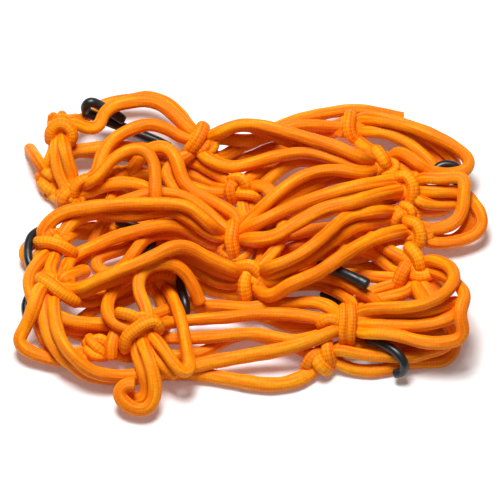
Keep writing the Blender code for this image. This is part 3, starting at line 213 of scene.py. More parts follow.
LEFT_EDGE = (
    Strand("L", "V", 16, ((-101.5, -7), (-106.3, -12), (-109.4, -17), (-110.4, -22.5), (-109, -28),
        (-106, -35, 10), (-105, -43), (-101.8, -50.5, 5), (-97.2, -56, 3), (-91, -57.2, 3),
        (-84, -56.2, 3))),
    Strand("L", "M", 34, ((-97.5, -9), (-100, -14.5), (-99.5, -19))),
    Strand("L", "M", 6, ((-103.6, -1.6), (-108.6, -1.8), (-111.8, -3.6), (-113, -6.6), (-111.6, -9.6),
        (-107.4, -12.8), (-103, -17, 14))),
    Strand("L", "M", 12, ((-102.5, -5.5), (-105.8, -7.5), (-105.5, -11.5), (-102, -16.5))),
    Strand("M", None, 42, ((-93.5, -19), (-88.5, -17.4), (-83, -15.6))),
    Strand("M", "V", 26, ((-104.3, -24), (-106.7, -30), (-109.3, -37.5), (-112.6, -44.5, 12),
        (-115.1, -50.4, 4), (-112.1, -54.3, 3), (-106, -57.2, 3), (-99, -59.3, 3), (-91, -60.4, 3),
        (-83, -59.4, 3))),
    Strand("M", "Q", 24, ((-102, -29), (-101.8, -38, 20), (-99.6, -48, 14), (-94.8, -56, 14),
        (-87.6, -61.9, 10), (-79.6, -67.1, 5), (-68, -68.6, 3), (-56, -68.8, 3), (-42, -67, 3),
        (-30, -66.8, 3), (-20, -68, 3), (-10, -69.7, 3), (0, -71.4, 3), (10, -72.4, 3), (19.5, -71.3, 3),
        (27.5, -68, 5))),
    Strand("M", "P", 28, ((-97.5, -30), (-97.3, -38), (-95.2, -47, 22), (-91, -54.7, 18), (-85, -60.8, 12),
        (-77.5, -65.8, 6), (-66, -67.7, 5), (-52, -66.7, 5), (-38, -64.6, 5), (-27.5, -62.6, 5),
        (-18, -60.5, 8), (-9, -59, 12), (0, -57.4, 14), (10, -55.7, 16), (20, -53.3, 20), (30, -50.2, 22),
        (39, -46.5, 24))),
    Strand("V", "Q", 5, ((-63, -58), (-50, -58.5), (-38, -58), (-28, -57), (-21, -55), (-15, -51.2),
        (-9, -48.3), (-1, -46.9), (8, -48.7), (17, -51), (26, -55))),
    Strand("M", "P", 8, ((-102, -36), (-94, -43), (-84, -44.8), (-74, -45.4), (-60, -46.8), (-45, -48.8),
        (-30, -49), (-15, -48), (-4, -46.8), (6, -47.2), (16, -49.2), (24, -49.9), (34, -47.4))),
    Strand("M", "P", 12, ((-99, -35.5), (-92, -39.6), (-85, -41.2), (-75, -41.8), (-66, -42), (-52, -39),
        (-41, -35), (-30, -33), (-15, -32.8), (0, -33.7), (10, -32.3), (20, -31.6), (30, -31), (36, -31.8),
        (42, -35))),
    Strand("T", "P", 10, ((-43, -41.8), (-30, -40), (-10, -38.4), (0, -37.2), (10, -36.8), (20, -37),
        (31, -38.5))),
    Strand(None, "P", 5, ((0, -37), (8, -38.5), (15, -41.3), (22, -43.3), (31, -44))),
)
FRONT = (
    Strand("T", None, 22, ((-53.5, -51), (-50.6, -58.3), (-48.2, -66, 16), (-47.2, -73, 10),
        (-47.9, -79.4, 5), (-51, -84, 3), (-56.2, -84.5, 3), (-61.4, -81.9, 3), (-64.8, -78, 3),
        (-64.8, -74.6, 3), (-61.6, -72.2, 4), (-57.8, -72, 8))),
    Strand("T", None, 14, ((-57, -52.5), (-55, -60), (-52.8, -67), (-51.6, -73.5, 8), (-52.8, -78.6, 6),
        (-56.8, -79.5, 6), (-60.6, -77.2, 8))),
    Strand("T", "O", 20, ((-48, -48.5), (-43, -54.5), (-39, -60), (-35.6, -64.3), (-32.3, -66.3),
        (-30.2, -63.8), (-30.9, -58.5, 24), (-32.2, -51), (-33.8, -42), (-36.6, -33.3), (-40, -26.5))),
    Strand("T", None, 14, ((-51.5, -51.5), (-46.5, -58.5), (-41.5, -64), (-37, -67.5))),
    Strand("T", None, 12, ((-62, -42.8), (-67, -46), (-69, -52.5), (-69, -58.5))),
    Strand("P", "R", 24, ((55, -35.5), (65, -33.8), (75, -33.6), (85, -32.3), (92, -29.7), (97.5, -26),
        (101.3, -21.3), (101.8, -16.5), (98.6, -12.5), (93.7, -10.9), (89, -9.8))),
    Strand("P", "P", 20, ((55, -39), (65, -37.8), (75, -37), (85, -36), (95, -33.3), (101.6, -31, 14),
        (105, -32, 10), (103.6, -36, 8), (98.5, -39.2, 10), (92, -41.4), (84, -42.6), (75, -42.7),
        (62, -42.2))),
    Strand("P", None, 8, ((60, -40), (75, -40.3), (86, -39), (95, -36), (101, -32))),
    Strand("P", "R", 24, ((54.5, -46), (65, -46.3), (75, -47.9), (82, -50), (90, -51.3), (98, -50.9),
        (104.3, -49.4), (106.2, -44.8), (104.8, -39.5), (104.8, -34), (107, -28.4), (104.2, -22.7, 16),
        (97, -18, 16), (90, -15.5, 18))),
    Strand("Q", "R", 8, ((43, -54.8), (50, -56), (60, -57.6), (70.5, -58.3), (79, -58.6), (88, -56.2),
        (95.5, -54, 6), (100.8, -49.5, 5), (99.4, -43, 8), (93, -37.5, 10), (87.5, -31.5, 16),
        (83.5, -25.5, 18))),
    Strand("Q", "R", 3, ((43, -61), (50, -63.9), (60, -65.3), (70, -63.9), (80, -61.3), (90, -60.8),
        (97, -60), (101, -56.6), (102.4, -51), (101.5, -44), (97, -36.5, 5), (92, -30, 14), (88, -24, 18))),
    Strand("R", "N", 8, ((76, -17), (71.5, -15.3), (66, -11), (60, -6.5), (50, -5, 6), (38, -7), (26, -11),
        (13, -16))),
    Strand("R", "H", 12, ((78, -10), (69, -5), (60, 2, 8), (50, 5.5), (38, 6), (20, 2.5), (5, -1))),
    Strand("R", "N", 3, ((73, -18), (63, -14.6), (50, -12.4), (36, -12), (22, -14), (12, -19))),
    Strand("N", "Q", 10, ((12, -20.5), (26, -18.5), (38, -18.5), (46, -20.5), (52, -24), (58, -27.5),
        (63.5, -31.5), (64, -38, 8), (59, -47, 4), (47, -55.5, 4))),
    Strand("N", "P", 6, ((12, -24), (24, -22.3), (35, -22.5), (43, -25.5), (49.5, -29.5), (51.5, -35))),
)
UNDERNEATH = (
    Strand("M", "S", 12, ((-89, -13.5), (-82.5, -9.5), (-79, -3), (-76, 4), (-72, 12), (-69, 22))),
    Strand("L", "O", 8, ((-88, 3), (-79, 6.5), (-70, 5), (-62, 0.5), (-56, -8), (-51, -14))),
    Strand("M", "O", 10, ((-88, -29.8), (-80, -30.8), (-72, -28.3), (-64, -24.4), (-56, -19.7))),
    Strand("O", None, 4, ((-56, -27), (-65, -31), (-74, -33.2), (-80, -36.2), (-85, -40.5), (-90, -44))),
    Strand("O", "N", 8, ((-38, -20.5), (-30, -21.2), (-22, -24.2), (-12, -26.6), (-5, -25))),
    Strand("M", "N", 33, ((-86, -26.5), (-75, -22.5), (-65, -18.5), (-55, -14.5), (-45, -10), (-38, -7.6),
        (-31, -8), (-24, -11.5), (-16, -15), (-8, -17.8))),
    Strand("K", "F", 10, ((0, 31.5), (7, 34), (15, 38.3), (25, 41.2), (40, 39.5), (52, 37))),
    Strand("K", "N", 6, ((-3.5, 18), (-2.5, 12.5), (1, 7), (4, 0), (4.5, -6), (3.5, -12))),
    Strand("S", "H", 8, ((-59, 27), (-46, 21), (-32, 18), (-22, 14), (-14, 8.5))),
    Strand("G", "N", 12, ((72.5, 21.5), (60, 18.8), (48, 17.3), (38, 14), (29, 11.5), (20, 9.5), (12, 5.5),
        (7.5, -1), (6, -9))),
    Strand("J", "N", 8, ((70.5, 7), (60, 3.6), (50, 0.6), (40, -0.4), (30, -1.5), (20, -5), (11, -11))),
    Strand("I", "N", 5, ((79, 1), (72, -0.3), (65.5, -4.4), (58, -8), (48, -9.3), (38, -12.3), (26, -17.5),
        (13, -22))),
    Strand("R", "N", 6, ((75, -19), (66, -18.8), (57, -17.8), (47, -17.2), (35, -18.5), (20, -21.5),
        (10, -21.5))),
    Strand("R", "P", 6, ((76, -20.5), (70, -22.8), (63, -25), (56, -28.5), (52, -34))),
    Strand("R", "P", 4, ((80.5, -24), (75.5, -27.2), (68, -28.8), (60, -31), (54, -35.5))),
    Strand("P", "R", 8, ((58, -44.5), (70, -46), (82, -47), (91, -46.5), (97, -43.5), (98.5, -38),
        (97.5, -31), (94, -25), (88, -19.5))),
    Strand("Q", "R", 6, ((44, -53), (53, -52.6), (63, -53.4), (72, -54), (80, -54.6), (88, -53), (94, -50),
        (96.5, -45), (94.5, -38), (90, -30), (85.5, -23.5))),
)
STRANDS = TOP_LEFT + TOP_RIGHT + MIDDLE + LEFT_EDGE + FRONT + UNDERNEATH

# Hooks: coated wire, laid among the strands; the ball is the radius of a
# moulded end, 0 for a plain one
Hook = namedtuple("Hook", "level ball bends")
HOOKS = {
    "hook_top_left": Hook(10, 0, ((-41, 46.8), (-46, 49.3), (-54, 52.6), (-62, 55.8), (-70, 59),
        (-77, 61.8), (-81.4, 64, 14), (-82.3, 66.7, 34), (-79.8, 69.2, 44), (-73, 66.2, 46),
        (-66, 61.9, 44), (-64, 60.4, 40))),
    "hook_left_upper": Hook(22, 0, ((-99, 6, 12), (-104, 5.2, 14), (-108, 3.2, 18), (-110.4, -0.4),
        (-110.9, -4.4), (-110.8, -8.6), (-109.6, -12.6, 12))),
    "hook_left_lower": Hook(8, 0, ((-98.5, -36), (-103.4, -39.6), (-107.4, -41), (-110.8, -39),
        (-112, -34.6), (-111.4, -29.6), (-108, -26), (-103, -24.5))),
    "hook_front": Hook(14, 0, ((-35, -13.5, 8), (-35.5, -18), (-34.6, -22.6), (-33, -28.4), (-32, -34.4),
        (-32.5, -40, 8))),
    "hook_hollow": Hook(12, 0, ((-66, 9.3), (-59, 7.4), (-52, 4.4), (-48.5, 0), (-50, -5), (-54, -9.5),
        (-58, -12))),
    "hook_right_upper": Hook(18, 0, ((92, 31.5), (92.6, 35, 22), (96, 37.6, 26), (100, 37.9, 26),
        (103.8, 36.2, 22), (105, 32), (102.5, 28.5, 14))),
    "hook_right_middle": Hook(18, 3.0, ((35, -12.4, 10), (42.5, -14.8), (49.5, -17.6), (58, -22))),
    "hook_right_lower": Hook(16, 0, ((59, -49.4, 10), (64, -51.2), (69, -53.2), (73.4, -56.4),
        (76.2, -60.2), (76.8, -63.6, 10), (75.2, -66, 4), (72.6, -66.5, 3))),
    "hook_gap_right": Hook(10, 0, ((48.5, 25), (53, 28.6), (58, 30.8), (64.5, 31.6))),
    "hook_gap_front": Hook(6, 0, ((36.5, -26.6), (40.5, -29.2), (45, -31.2), (52, -32.8))),
    "hook_gap_left": Hook(3, 0, ((-72, 36), (-64, 34.4), (-55, 30.6), (-48, 27))),
}


def smooth_line(corners, step):
    """Points every `step` along a smooth curve through the corners."""
    points = np.array(corners, float)
    before = 2 * points[0] - points[1]
    after = 2 * points[-1] - points[-2]
    points = np.vstack([before, points, after])
    chords = np.maximum(np.linalg.norm(np.diff(points[:, :2], axis=0), axis=1), 0.5)
    knots = np.concatenate([[0.0], np.cumsum(np.sqrt(chords))])
    fine = []
    for i in range(1, len(points) - 2):
        k0, k1, k2, k3 = knots[i - 1:i + 3]
        p0, p1, p2, p3 = points[i - 1:i + 3]
        for k in np.linspace(k1, k2, SPLINE_STEPS, endpoint=False):
            a1 = ((k1 - k) * p0 + (k - k0) * p1) / (k1 - k0)
            a2 = ((k2 - k) * p1 + (k - k1) * p2) / (k2 - k1)
            a3 = ((k3 - k) * p2 + (k - k2) * p3) / (k3 - k2)
            b1 = ((k2 - k) * a1 + (k - k0) * a2) / (k2 - k0)
            b2 = ((k3 - k) * a2 + (k - k1) * a3) / (k3 - k1)
            fine.append(((k2 - k) * b1 + (k - k1) * b2) / (k2 - k1))
    fine.append(points[-2])
    return spaced(np.array(fine), step)


def spaced(points, step):
    """The same line, with its points an even distance of about `step` apart."""
    along = np.concatenate([[0.0], np.cumsum(np.linalg.norm(np.diff(points, axis=0), axis=1))])
    count = max(int(round(along[-1] / step)), 2)
    stations = np.linspace(0.0, along[-1], count + 1)
    return np.column_stack([np.interp(stations, along, column) for column in points.T])


def strand_corners(strand):
    """A strand's corners from knot to knot as (across, up, level)."""
    corners = [(*bend, strand.level)[:3] for bend in strand.bends]
    for name, at_start in ((strand.start, True), (strand.end, False)):
        if name is None:
            continue
        knot = KNOTS[name]
        near = corners[0] if at_start else corners[-1]
        lead = (near[0] - knot.across, near[1] - knot.up)
        inward = min(KNOT_ROOT / math.hypot(*lead), 0.7)
        inside = (knot.across + inward * lead[0], knot.up + inward * lead[1], knot.level)
        corners = [inside] + corners if at_start else corners + [inside]
    return corners


class Heap:
    """All strands, hooks and knots as points that are let down on each other.

    A point keeps its place across and up the view; `depth` is how far it lies
    towards the viewer, which is all that changes while the heap settles.
    """

    def __init__(self):
        self.lines = []
        self.reach = []
        self.held = []
        for strand in STRANDS:
            self.add_line(strand_corners(strand), CORD_REACH, (strand.start, strand.end))
        for hook in HOOKS.values():
            corners = [(*bend, hook.level)[:3] for bend in hook.bends]
            self.add_line(corners, HOOK_REACH + (BALL_REACH if hook.ball else 0), (None, None))
        self.line_count = len(self.lines)
        for name, knot in KNOTS.items():
            self.lines.append(np.array([[knot.across, knot.up, knot.level]], float))
            self.reach.append(KNOT_REACH)
            self.held.append((name, name))
        self.owner = np.concatenate([np.full(len(line), i) for i, line in enumerate(self.lines)])
        self.place = np.concatenate([np.arange(len(line)) for line in self.lines])
        self.points = np.vstack(self.lines)
        self.size = np.array(self.reach)[self.owner]
        self.first = np.searchsorted(self.owner, np.arange(len(self.lines)))
        self.sine = math.sin(VIEW_ELEVATION)
        self.cosine = math.cos(VIEW_ELEVATION)
        self.depth = (self.points[:, 2] - self.points[:, 1] * self.cosine) / self.sine
        floor = np.select([self.size == CORD_REACH, self.size == KNOT_REACH],
                          [CORD_FLAT, KNOT_FLAT], HOOK_FLAT)
        self.lowest = (floor - self.points[:, 1] * self.cosine) / self.sine

    def add_line(self, corners, reach, ends):
        self.lines.append(smooth_line(corners, SAMPLE))
        self.reach.append(reach)
        self.held.append(ends)

    def ties(self):
        """For each knot, its own point and the strand points that it holds."""
        groups = []
        for offset, (name, knot) in enumerate(KNOTS.items()):
            members = [self.first[self.line_count + offset]]
            for i in range(self.line_count):
                if name not in self.held[i]:
                    continue
                span = self.lines[i][:, :2] - (knot.across, knot.up)
                near = np.flatnonzero(np.linalg.norm(span, axis=1) < KNOT_GRIP)
                members.extend(self.first[i] + near)
            groups.append(np.array(members))
        return groups

    def contacts(self):
        """Pairs that cross or touch in the view: upper, lower and least depth apart."""
        flat = self.points[:, :2]
        spans = np.linalg.norm(flat[:, None] - flat[None], axis=2)
        least = self.size[:, None] + self.size[None] + GAP
        upper, lower = np.nonzero(np.triu(spans < least, 1))
        same = self.owner[upper] == self.owner[lower]
        close = np.abs(self.place[upper] - self.place[lower]) * SAMPLE < SELF_NEAR
        keep = ~(same & close) & ~self.share_knot(upper, lower, flat)
        upper, lower = upper[keep], lower[keep]
        apart = np.sqrt(least[upper, lower] ** 2 - spans[upper, lower] ** 2)
        above = self.which_is_above(upper, lower)
        swap = above < 0
        upper[swap], lower[swap] = lower[swap], upper[swap].copy()
        return upper, lower, apart

    def share_knot(self, one, two, flat):
        shared = np.zeros(len(one), bool)
        for name, knot in KNOTS.items():
            holds = np.array([name in ends for ends in self.held])
            near = np.linalg.norm(flat - (knot.across, knot.up), axis=1) < KNOT_CLEAR
            bound = holds[self.owner] & near
            shared |= bound[one] & bound[two]
        return shared

    def which_is_above(self, one, two):
        """+1 where the first of a pair lies above, the same along each crossing."""
        rise = self.depth[one] - self.depth[two]
        order = np.lexsort((self.place[one], self.owner[two], self.owner[one]))
        sign = np.empty(len(one))
        run = []
        for k in order:
            if run:
                last = run[-1]
                joined = (self.owner[one[k]] == self.owner[one[last]]
                          and self.owner[two[k]] == self.owner[two[last]]
                          and self.place[one[k]] - self.place[one[last]] <= 2)
                if not joined:
                    sign[run] = 1.0 if rise[run].mean() >= 0 else -1.0
                    run = []
            run.append(k)
        if run:
            sign[run] = 1.0 if rise[run].mean() >= 0 else -1.0
        return sign

    def settle(self):
        """Lets everything down along the line of sight until it rests."""
        upper, lower, apart = self.contacts()
        ties = self.ties()
        count = len(self.depth)
        inner = np.flatnonzero((self.owner[1:-1] == self.owner[:-2])
                               & (self.owner[1:-1] == self.owner[2:])) + 1
        touches = np.bincount(upper, minlength=count) + np.bincount(lower, minlength=count)
        share = 1.0 / np.maximum(touches, 1.0)
        for step in range(SETTLE_STEPS + RELEASE_STEPS):
            settling = step < SETTLE_STEPS
            if settling:
                self.depth -= SETTLE_DROP
            stiff = STIFFNESS if settling else RELEASE_STIFFNESS
            middle = 0.5 * (self.depth[inner - 1] + self.depth[inner + 1])
            self.depth[inner] += stiff * (middle - self.depth[inner])
            for _ in range(2):
                short = np.maximum(apart - (self.depth[upper] - self.depth[lower]), 0.0)
                move = np.bincount(upper, short, count) - np.bincount(lower, short, count)
                self.depth += PUSH * move * np.maximum(share, LEAST_SHARE)
                self.depth = np.maximum(self.depth, self.lowest)
            for members in ties:
                self.depth[members] = self.depth[members].mean()

    def in_space(self, index):
        """A line's points as (x, y, z) in millimetres, before centring."""
        first = self.first[index]
        last = first + len(self.lines[index])
        across, up = self.points[first:last, 0], self.points[first:last, 1]
        depth = self.depth[first:last]
        return np.column_stack([across, up * self.sine - depth * self.cosine,
                                up * self.cosine + depth * self.sine])


# Turns of cord that show on the knots.  The bends are places on the front; rise
# is how far the turn stands towards the viewer, and one that wraps goes on round
# the back of its knot
Turn = namedtuple("Turn", "knot radius rise wraps bends")
TURNS = (
    Turn("A", 2.9, 4.8, True, ((-99.8, 50), (-99.6, 54.2), (-97, 57.4), (-93.8, 58), (-90.4, 56),
        (-89, 52.5), (-90, 49))),
    Turn("A", 2.8, 2.0, False, ((-97.4, 58.6), (-96, 60.6), (-93.8, 60.6), (-91.6, 58.6))),
    Turn("B", 2.7, 4.4, False, ((-102.6, 34.2), (-100.6, 32.8), (-98.6, 30.8))),
    Turn("B", 2.9, 4.0, False, ((-102.8, 28.5), (-101.6, 26), (-99, 24.6), (-96.3, 22.4))),
    Turn("B", 2.7, 2.4, False, ((-101, 25), (-102.6, 27.8), (-101.2, 31))),
    Turn("C", 3.0, 5.2, False, ((-88.3, 20.8), (-87.6, 26), (-84.3, 29.6), (-79.8, 30.8), (-75.5, 30))),
    Turn("C", 3.1, 4.4, False, ((-94.2, 17.8), (-93.2, 21.8), (-89.8, 24.6))),
    Turn("C", 2.6, 3.4, True, ((-92.5, 26), (-89.5, 21), (-86, 18.5))),
    Turn("S", 3.0, 4.6, True, ((-69, 27), (-66, 31), (-62, 34.5))),
    Turn("S", 2.8, 4.0, False, ((-70.5, 32), (-67, 34.5), (-63.5, 32.5))),
    Turn("D", 3.3, 5.0, True, ((-23.6, 56.4), (-24.9, 53), (-27, 49), (-30.2, 44.8))),
    Turn("D", 2.5, 2.6, False, ((-20, 51.6), (-17.5, 48.6), (-18.2, 45.8), (-23, 43.2))),
    Turn("D", 2.3, 4.0, False, ((-20.5, 49), (-22, 46.2), (-26, 43.4))),
    Turn("K", 3.0, 4.8, False, ((-7.6, 29.3), (-10.3, 26), (-9.3, 20))),
    Turn("K", 2.9, 4.8, False, ((-9.2, 30.3), (-5, 30.9), (-2.6, 28.3), (-2.4, 24.5))),
    Turn("K", 2.7, 4.8, False, ((-6, 22.8), (-1.2, 22.7), (4.2, 21.3))),
    Turn("K", 2.0, 2.6, False, ((0.6, 25.2), (4, 27), (8, 26), (11.3, 23.3))),
    Turn("E", 3.2, 4.8, True, ((50.3, 62.2), (49.6, 57), (50.6, 52.6), (53.6, 50.2))),
    Turn("F", 3.5, 5.2, False, ((63.6, 44.6), (66.2, 41.2), (68.2, 36.6))),
    Turn("F", 2.5, 4.2, False, ((64.6, 36.6), (63.1, 33.6), (61.6, 30.4))),
    Turn("F", 2.3, 4.0, False, ((71.2, 40.4), (73.2, 37), (71.3, 33.9), (66, 32.8))),
    Turn("F", 2.8, 3.0, True, ((61.2, 40), (65, 37), (70.5, 35.4))),
    Turn("G", 3.0, 5.0, True, ((73.6, 31.6), (78.2, 31.9), (81.2, 27.6), (81.3, 22), (79.8, 17.6))),
    Turn("J", 2.7, 4.4, False, ((71.6, 7), (73.6, 11.6), (78.6, 13.8))),
    Turn("J", 2.5, 4.6, False, ((76.6, 17), (80, 15.6), (80.8, 10.6))),
    Turn("J", 2.6, 3.4, True, ((73, 15.4), (77.4, 12), (80.6, 8))),
    Turn("I", 3.1, 5.0, True, ((78.6, 9.4), (83, 7.8), (85, 3.6), (84.8, -0.6), (82.8, -3.6))),
    Turn("R", 3.8, 5.2, False, ((79.8, -4.4), (83.4, -9), (84.9, -15.4))),
    Turn("R", 3.5, 4.8, False, ((79.2, -11.4), (75.6, -16.8), (73.1, -23))),
    Turn("R", 3.1, 4.8, False, ((90.6, -12.6), (89.2, -16.9), (85.5, -18.2), (80.6, -17.2))),
    Turn("R", 3.0, 3.0, True, ((78, -8.5), (81, -15), (87, -21.5))),
    Turn("H", 3.3, 5.2, True, ((-8.2, 7.4), (-8.8, 3.8), (-9.3, -0.2), (-8.5, -4.4), (-7.9, -8))),
    Turn("H", 1.9, 3.6, False, ((-12.6, -1.6), (-15.2, -4.6), (-13.4, -7.6), (-9, -8.4))),
    Turn("H", 1.8, 3.6, False, ((-11, -8.2), (-6.5, -9.6), (-2.6, -8.3), (0, -5), (-0.4, -2.4))),
    Turn("N", 3.1, 5.2, False, ((-5.6, -13.6), (0.2, -12.9), (4.2, -16.2), (5.8, -20))),
    Turn("N", 3.5, 5.0, False, ((-1.4, -16.2), (-2.9, -22.6), (-1.9, -29.4))),
    Turn("N", 3.3, 4.8, False, ((8.4, -17.4), (6.2, -21.8), (4, -26.4))),
    Turn("N", 3.0, 3.0, True, ((-5, -18), (1, -20), (7, -23.5))),
    Turn("L", 3.2, 5.0, True, ((-105.2, -1.2), (-100.6, -1), (-95, -2.6), (-88.8, -6.2))),
    Turn("M", 3.4, 5.0, True, ((-104.2, -18.9), (-99, -22.4), (-93, -27), (-86.8, -30.6))),
    Turn("T", 3.4, 5.2, True, ((-62.2, -53.4), (-61.2, -48.6), (-57, -44.5), (-51.2, -41), (-47.2, -40.6),
        (-45.6, -44))),
    Turn("T", 2.9, 3.8, False, ((-65, -36.2), (-59.4, -37.4), (-54.6, -40.4))),
    Turn("T", 3.0, 3.0, False, ((-58.5, -40.5), (-52.5, -38.6), (-50, -42.5))),
    Turn("O", 3.0, 4.6, True, ((-50.6, -21), (-47.4, -17.6), (-42.6, -17), (-37.4, -20.4))),
    Turn("O", 3.0, 3.8, False, ((-51, -18.6), (-50.2, -23), (-47.8, -26.6))),
    Turn("P", 2.4, 5.2, True, ((46.8, -33.6), (46.9, -40), (46.5, -46), (46.6, -50.4))),
    Turn("P", 2.4, 5.2, True, ((50.4, -33), (50.9, -39), (50.4, -45.5), (50.2, -50.8))),
    Turn("P", 2.9, 3.4, False, ((35.2, -41.4), (39.8, -39.4), (44.6, -41.4))),
    Turn("Q", 2.8, 4.8, False, ((34.6, -54.8), (30.3, -58.4), (27.4, -63.6))),
    Turn("Q", 3.1, 4.8, False, ((38.2, -51.4), (38.8, -56.4), (40, -61))),
    Turn("Q", 3.4, 5.0, False, ((32.6, -58), (35, -62.2), (38.2, -64.6))),
    Turn("Q", 3.0, 2.8, True, ((30, -56.5), (36, -59), (41.5, -61))),
    Turn("V", 3.0, 4.4, True, ((-79.5, -49.5), (-76, -53.5), (-72, -57))),
    Turn("V", 2.9, 4.2, False, ((-81, -54.5), (-77.5, -57.6), (-72.6, -58))),
    Turn("V", 2.9, 4.2, False, ((-78.6, -51), (-74.6, -49.6), (-70.8, -52.6))),
)

# The back of every knot: the same two turns, in the knot's own place, as (along
# the run, across it) from its middle
BACK_TURNS = (((-5.5, 2.2), (0, 3.8), (5.5, 1.4)), ((-5.5, -2.2), (0, -3.4), (5.5, -3)))
BACK_RADIUS = 2.5
BACK_RISE = -4.2
KNOT_CORE = (6.2, 6.2, 4.0)   # half sizes of the strands packed inside a knot

STRAND_PIECES = {
    "strands_top_left": TOP_LEFT,
    "strands_top_right": TOP_RIGHT,
    "strands_middle": MIDDLE,
    "strands_left_edge": LEFT_EDGE,
    "strands_front": FRONT,
    "strands_underneath": UNDERNEATH,
}

# Stretches of cord that lie on the table deep in the heap's hollows, where they
# show dark between the others: their bends across and up the view.  They aren't
# let down with the rest, and run through other low strands where they meet them
DEEP = (
    ((-24, 20), (-16, 14.5), (-8, 13), (0, 16), (6, 20)),
    ((-4, 9), (6, 6), (14, 7), (24, 12), (34, 17), (46, 21)),
    ((-30, -16), (-22, -20), (-12, -27), (0, -28.4), (10, -27)),
    ((58, -1), (66, -6), (73, -12), (76, -20)),
    ((62, -12), (70, -20), (80, -26), (90, -27)),
    ((88, -24), (95, -20), (97, -15), (92, -12)),
    ((-68, -1), (-58, -5), (-48, -2.5), (-40, 0), (-30, -2)),
    ((-62, -10), (-52, -9.5), (-44, -5.5), (-34, -5)),
    ((-76, 6.5), (-66, 8), (-58, 7), (-50, 8), (-42, 9.5)),
    ((-50, -22), (-45, -30), (-42, -38), (-44, -46)),
    ((-42, -20), (-36, -27), (-30, -32), (-20, -35.6)),
    ((-98, -40), (-88, -46), (-76, -49.6), (-64, -51), (-54, -53)),
    ((-96, -57), (-82, -57.4), (-70, -56), (-60, -56.4)),
    ((-78, -24), (-71, -29), (-66, -36), (-62, -42)),
    ((60, -40), (74, -40.4), (86, -41), (97, -37.5)),
    ((62, -49.5), (76, -51.4), (90, -52), (99, -46)),
    ((88, 20), (96, 21), (102, 21.4)),
    ((56, 8), (64, 6), (72, 4.6)),
    ((-84, 18), (-74, 21), (-64, 22.4), (-52, 20)),
    ((-91.5, 4.6), (-87, 3.6), (-82, 3), (-74, 3.4)),
    ((62, 57), (72, 55.6), (82, 51), (92, 45)),
)

# How much thicker than the rest the strands that lie slack are, and how much
# thinner the stretched ones low in the heap
SLACK = {("M", "Q", 24): 1.17, ("I", "N", 34): 1.16, ("M", "P", 28): 1.08,
         ("G", "H", 38): 1.06, ("G", "H", 36): 1.06, ("T", None, 22): 1.09,
         ("M", "V", 26): 1.12, ("L", "H", 40): 1.04, ("M", None, 42): 1.2}
STRETCHED = 0.95
STRETCHED_BELOW = 10         # level

THICK_WIRE = {"hook_top_left": 1.14, "hook_right_middle": 1.12, "hook_right_lower": 1.06}

CORD_SIDES = 24
CORD_STEP = 1.3              # spacing of the rings along a strand
TURN_SIDES = 22
TURN_STEP = 0.8
WIRE_SIDES = 24
WIRE_STEP = 0.8
SETTLED_PASSES = 1           # smoothing of the height along a strand
TURN_REST = 0.12             # how far round its back a turn ends, in half turns
WRAP_POINTS = 48             # round a turn that wraps its knot
ARCH_POINTS = 30             # over one that doesn't
BACK_SHARE = 0.8             # how deep a turn's back lies, as a share of its rise
BALL_LENGTH = 4.4            # of a hook's moulded end
BALL_EDGE = 2.2              # how sharply the wire swells to it

# How low a middle line may lie, as a share of the cord's radius
STRAND_LOWEST = 0.94
TURN_LOWEST = 0.9

# How much the creases move on from one strand, stretch or turn to the next
STRAND_PHASE = 1.7
DEEP_PHASE = 2.3
TURN_PHASE = 0.9
BACK_NUMBER = 3              # of the turn whose creases all the backs share

# How far an end bulges, as a share of its radius
TURN_TIP = 0.4
WIRE_TIP = 0.45

# Rings that close a tube's end, from the tip in: share of the radius, share of
# the bulge, and place on the map in millimetres
TIP_RINGS = ((0.0, 1.0, 1.0), (0.6, 1.0, 0.8), (0.9, 0.7, 0.4))


@functools.lru_cache(maxsize=1)
def settled_heap():
    """The heap let down, and how far its middle is from the origin."""
    heap = Heap()
    heap.settle()
    every = np.vstack([heap.in_space(i) for i in range(heap.line_count)])
    middle = (every.min(axis=0) + every.max(axis=0)) / 2
    return heap, np.array((middle[0], middle[1], 0.0))


def smoothed(values, passes):
    """A run of numbers with its small jumps evened out, its ends held."""
    values = np.array(values, float)
    for _ in range(passes):
        values[1:-1] = 0.25 * values[:-2] + 0.5 * values[1:-1] + 0.25 * values[2:]
    return values


def in_row_frame(across, up, depth, shift):
    """Places in the view and towards the viewer as millimetres in the row frame."""
    return (np.outer(across, (1, 0, 0)) + np.outer(up, UP_VIEW)
            + np.outer(depth, TO_VIEWER) - shift)


def round_curve(points, step, closed=False):
    """A smooth curve through points in space, with a point every `step`."""
    points = np.array(points, float)
    if closed:
        ring = np.vstack([points[-1:], points, points[:2]])
    else:
        ring = np.vstack([2 * points[0] - points[1], points, 2 * points[-1] - points[-2]])
    fine = []
    t = np.linspace(0, 1, 6, endpoint=False)[:, None]
    for p0, p1, p2, p3 in zip(ring, ring[1:], ring[2:], ring[3:]):
        fine.append(0.5 * (2 * p1 + (p2 - p0) * t + (2 * p0 - 5 * p1 + 4 * p2 - p3) * t ** 2
                           + (3 * p1 - p0 - 3 * p2 + p3) * t ** 3))
    fine.append(ring[-2][None])
    return spaced(np.vstack(fine), step)


def settled_line(index):
    """The middle line of a strand or hook in the row frame, in millimetres."""
    heap, shift = settled_heap()
    first = heap.first[index]
    last = first + len(heap.lines[index])
    depth = smoothed(heap.depth[first:last], SETTLED_PASSES)
    across = smoothed(heap.points[first:last, 0], 1)
    up = smoothed(heap.points[first:last, 1], 1)
    return in_row_frame(across, up, depth, shift)


def deep_line(bends):
    """The middle line of a stretch of cord that lies on the table."""
    _, shift = settled_heap()
    path = smooth_line([(*bend, 0.0) for bend in bends], SAMPLE)
    depth = (CORD_FLAT - path[:, 1] * math.cos(VIEW_ELEVATION)) / math.sin(VIEW_ELEVATION)
    return in_row_frame(path[:, 0], path[:, 1], depth, shift)


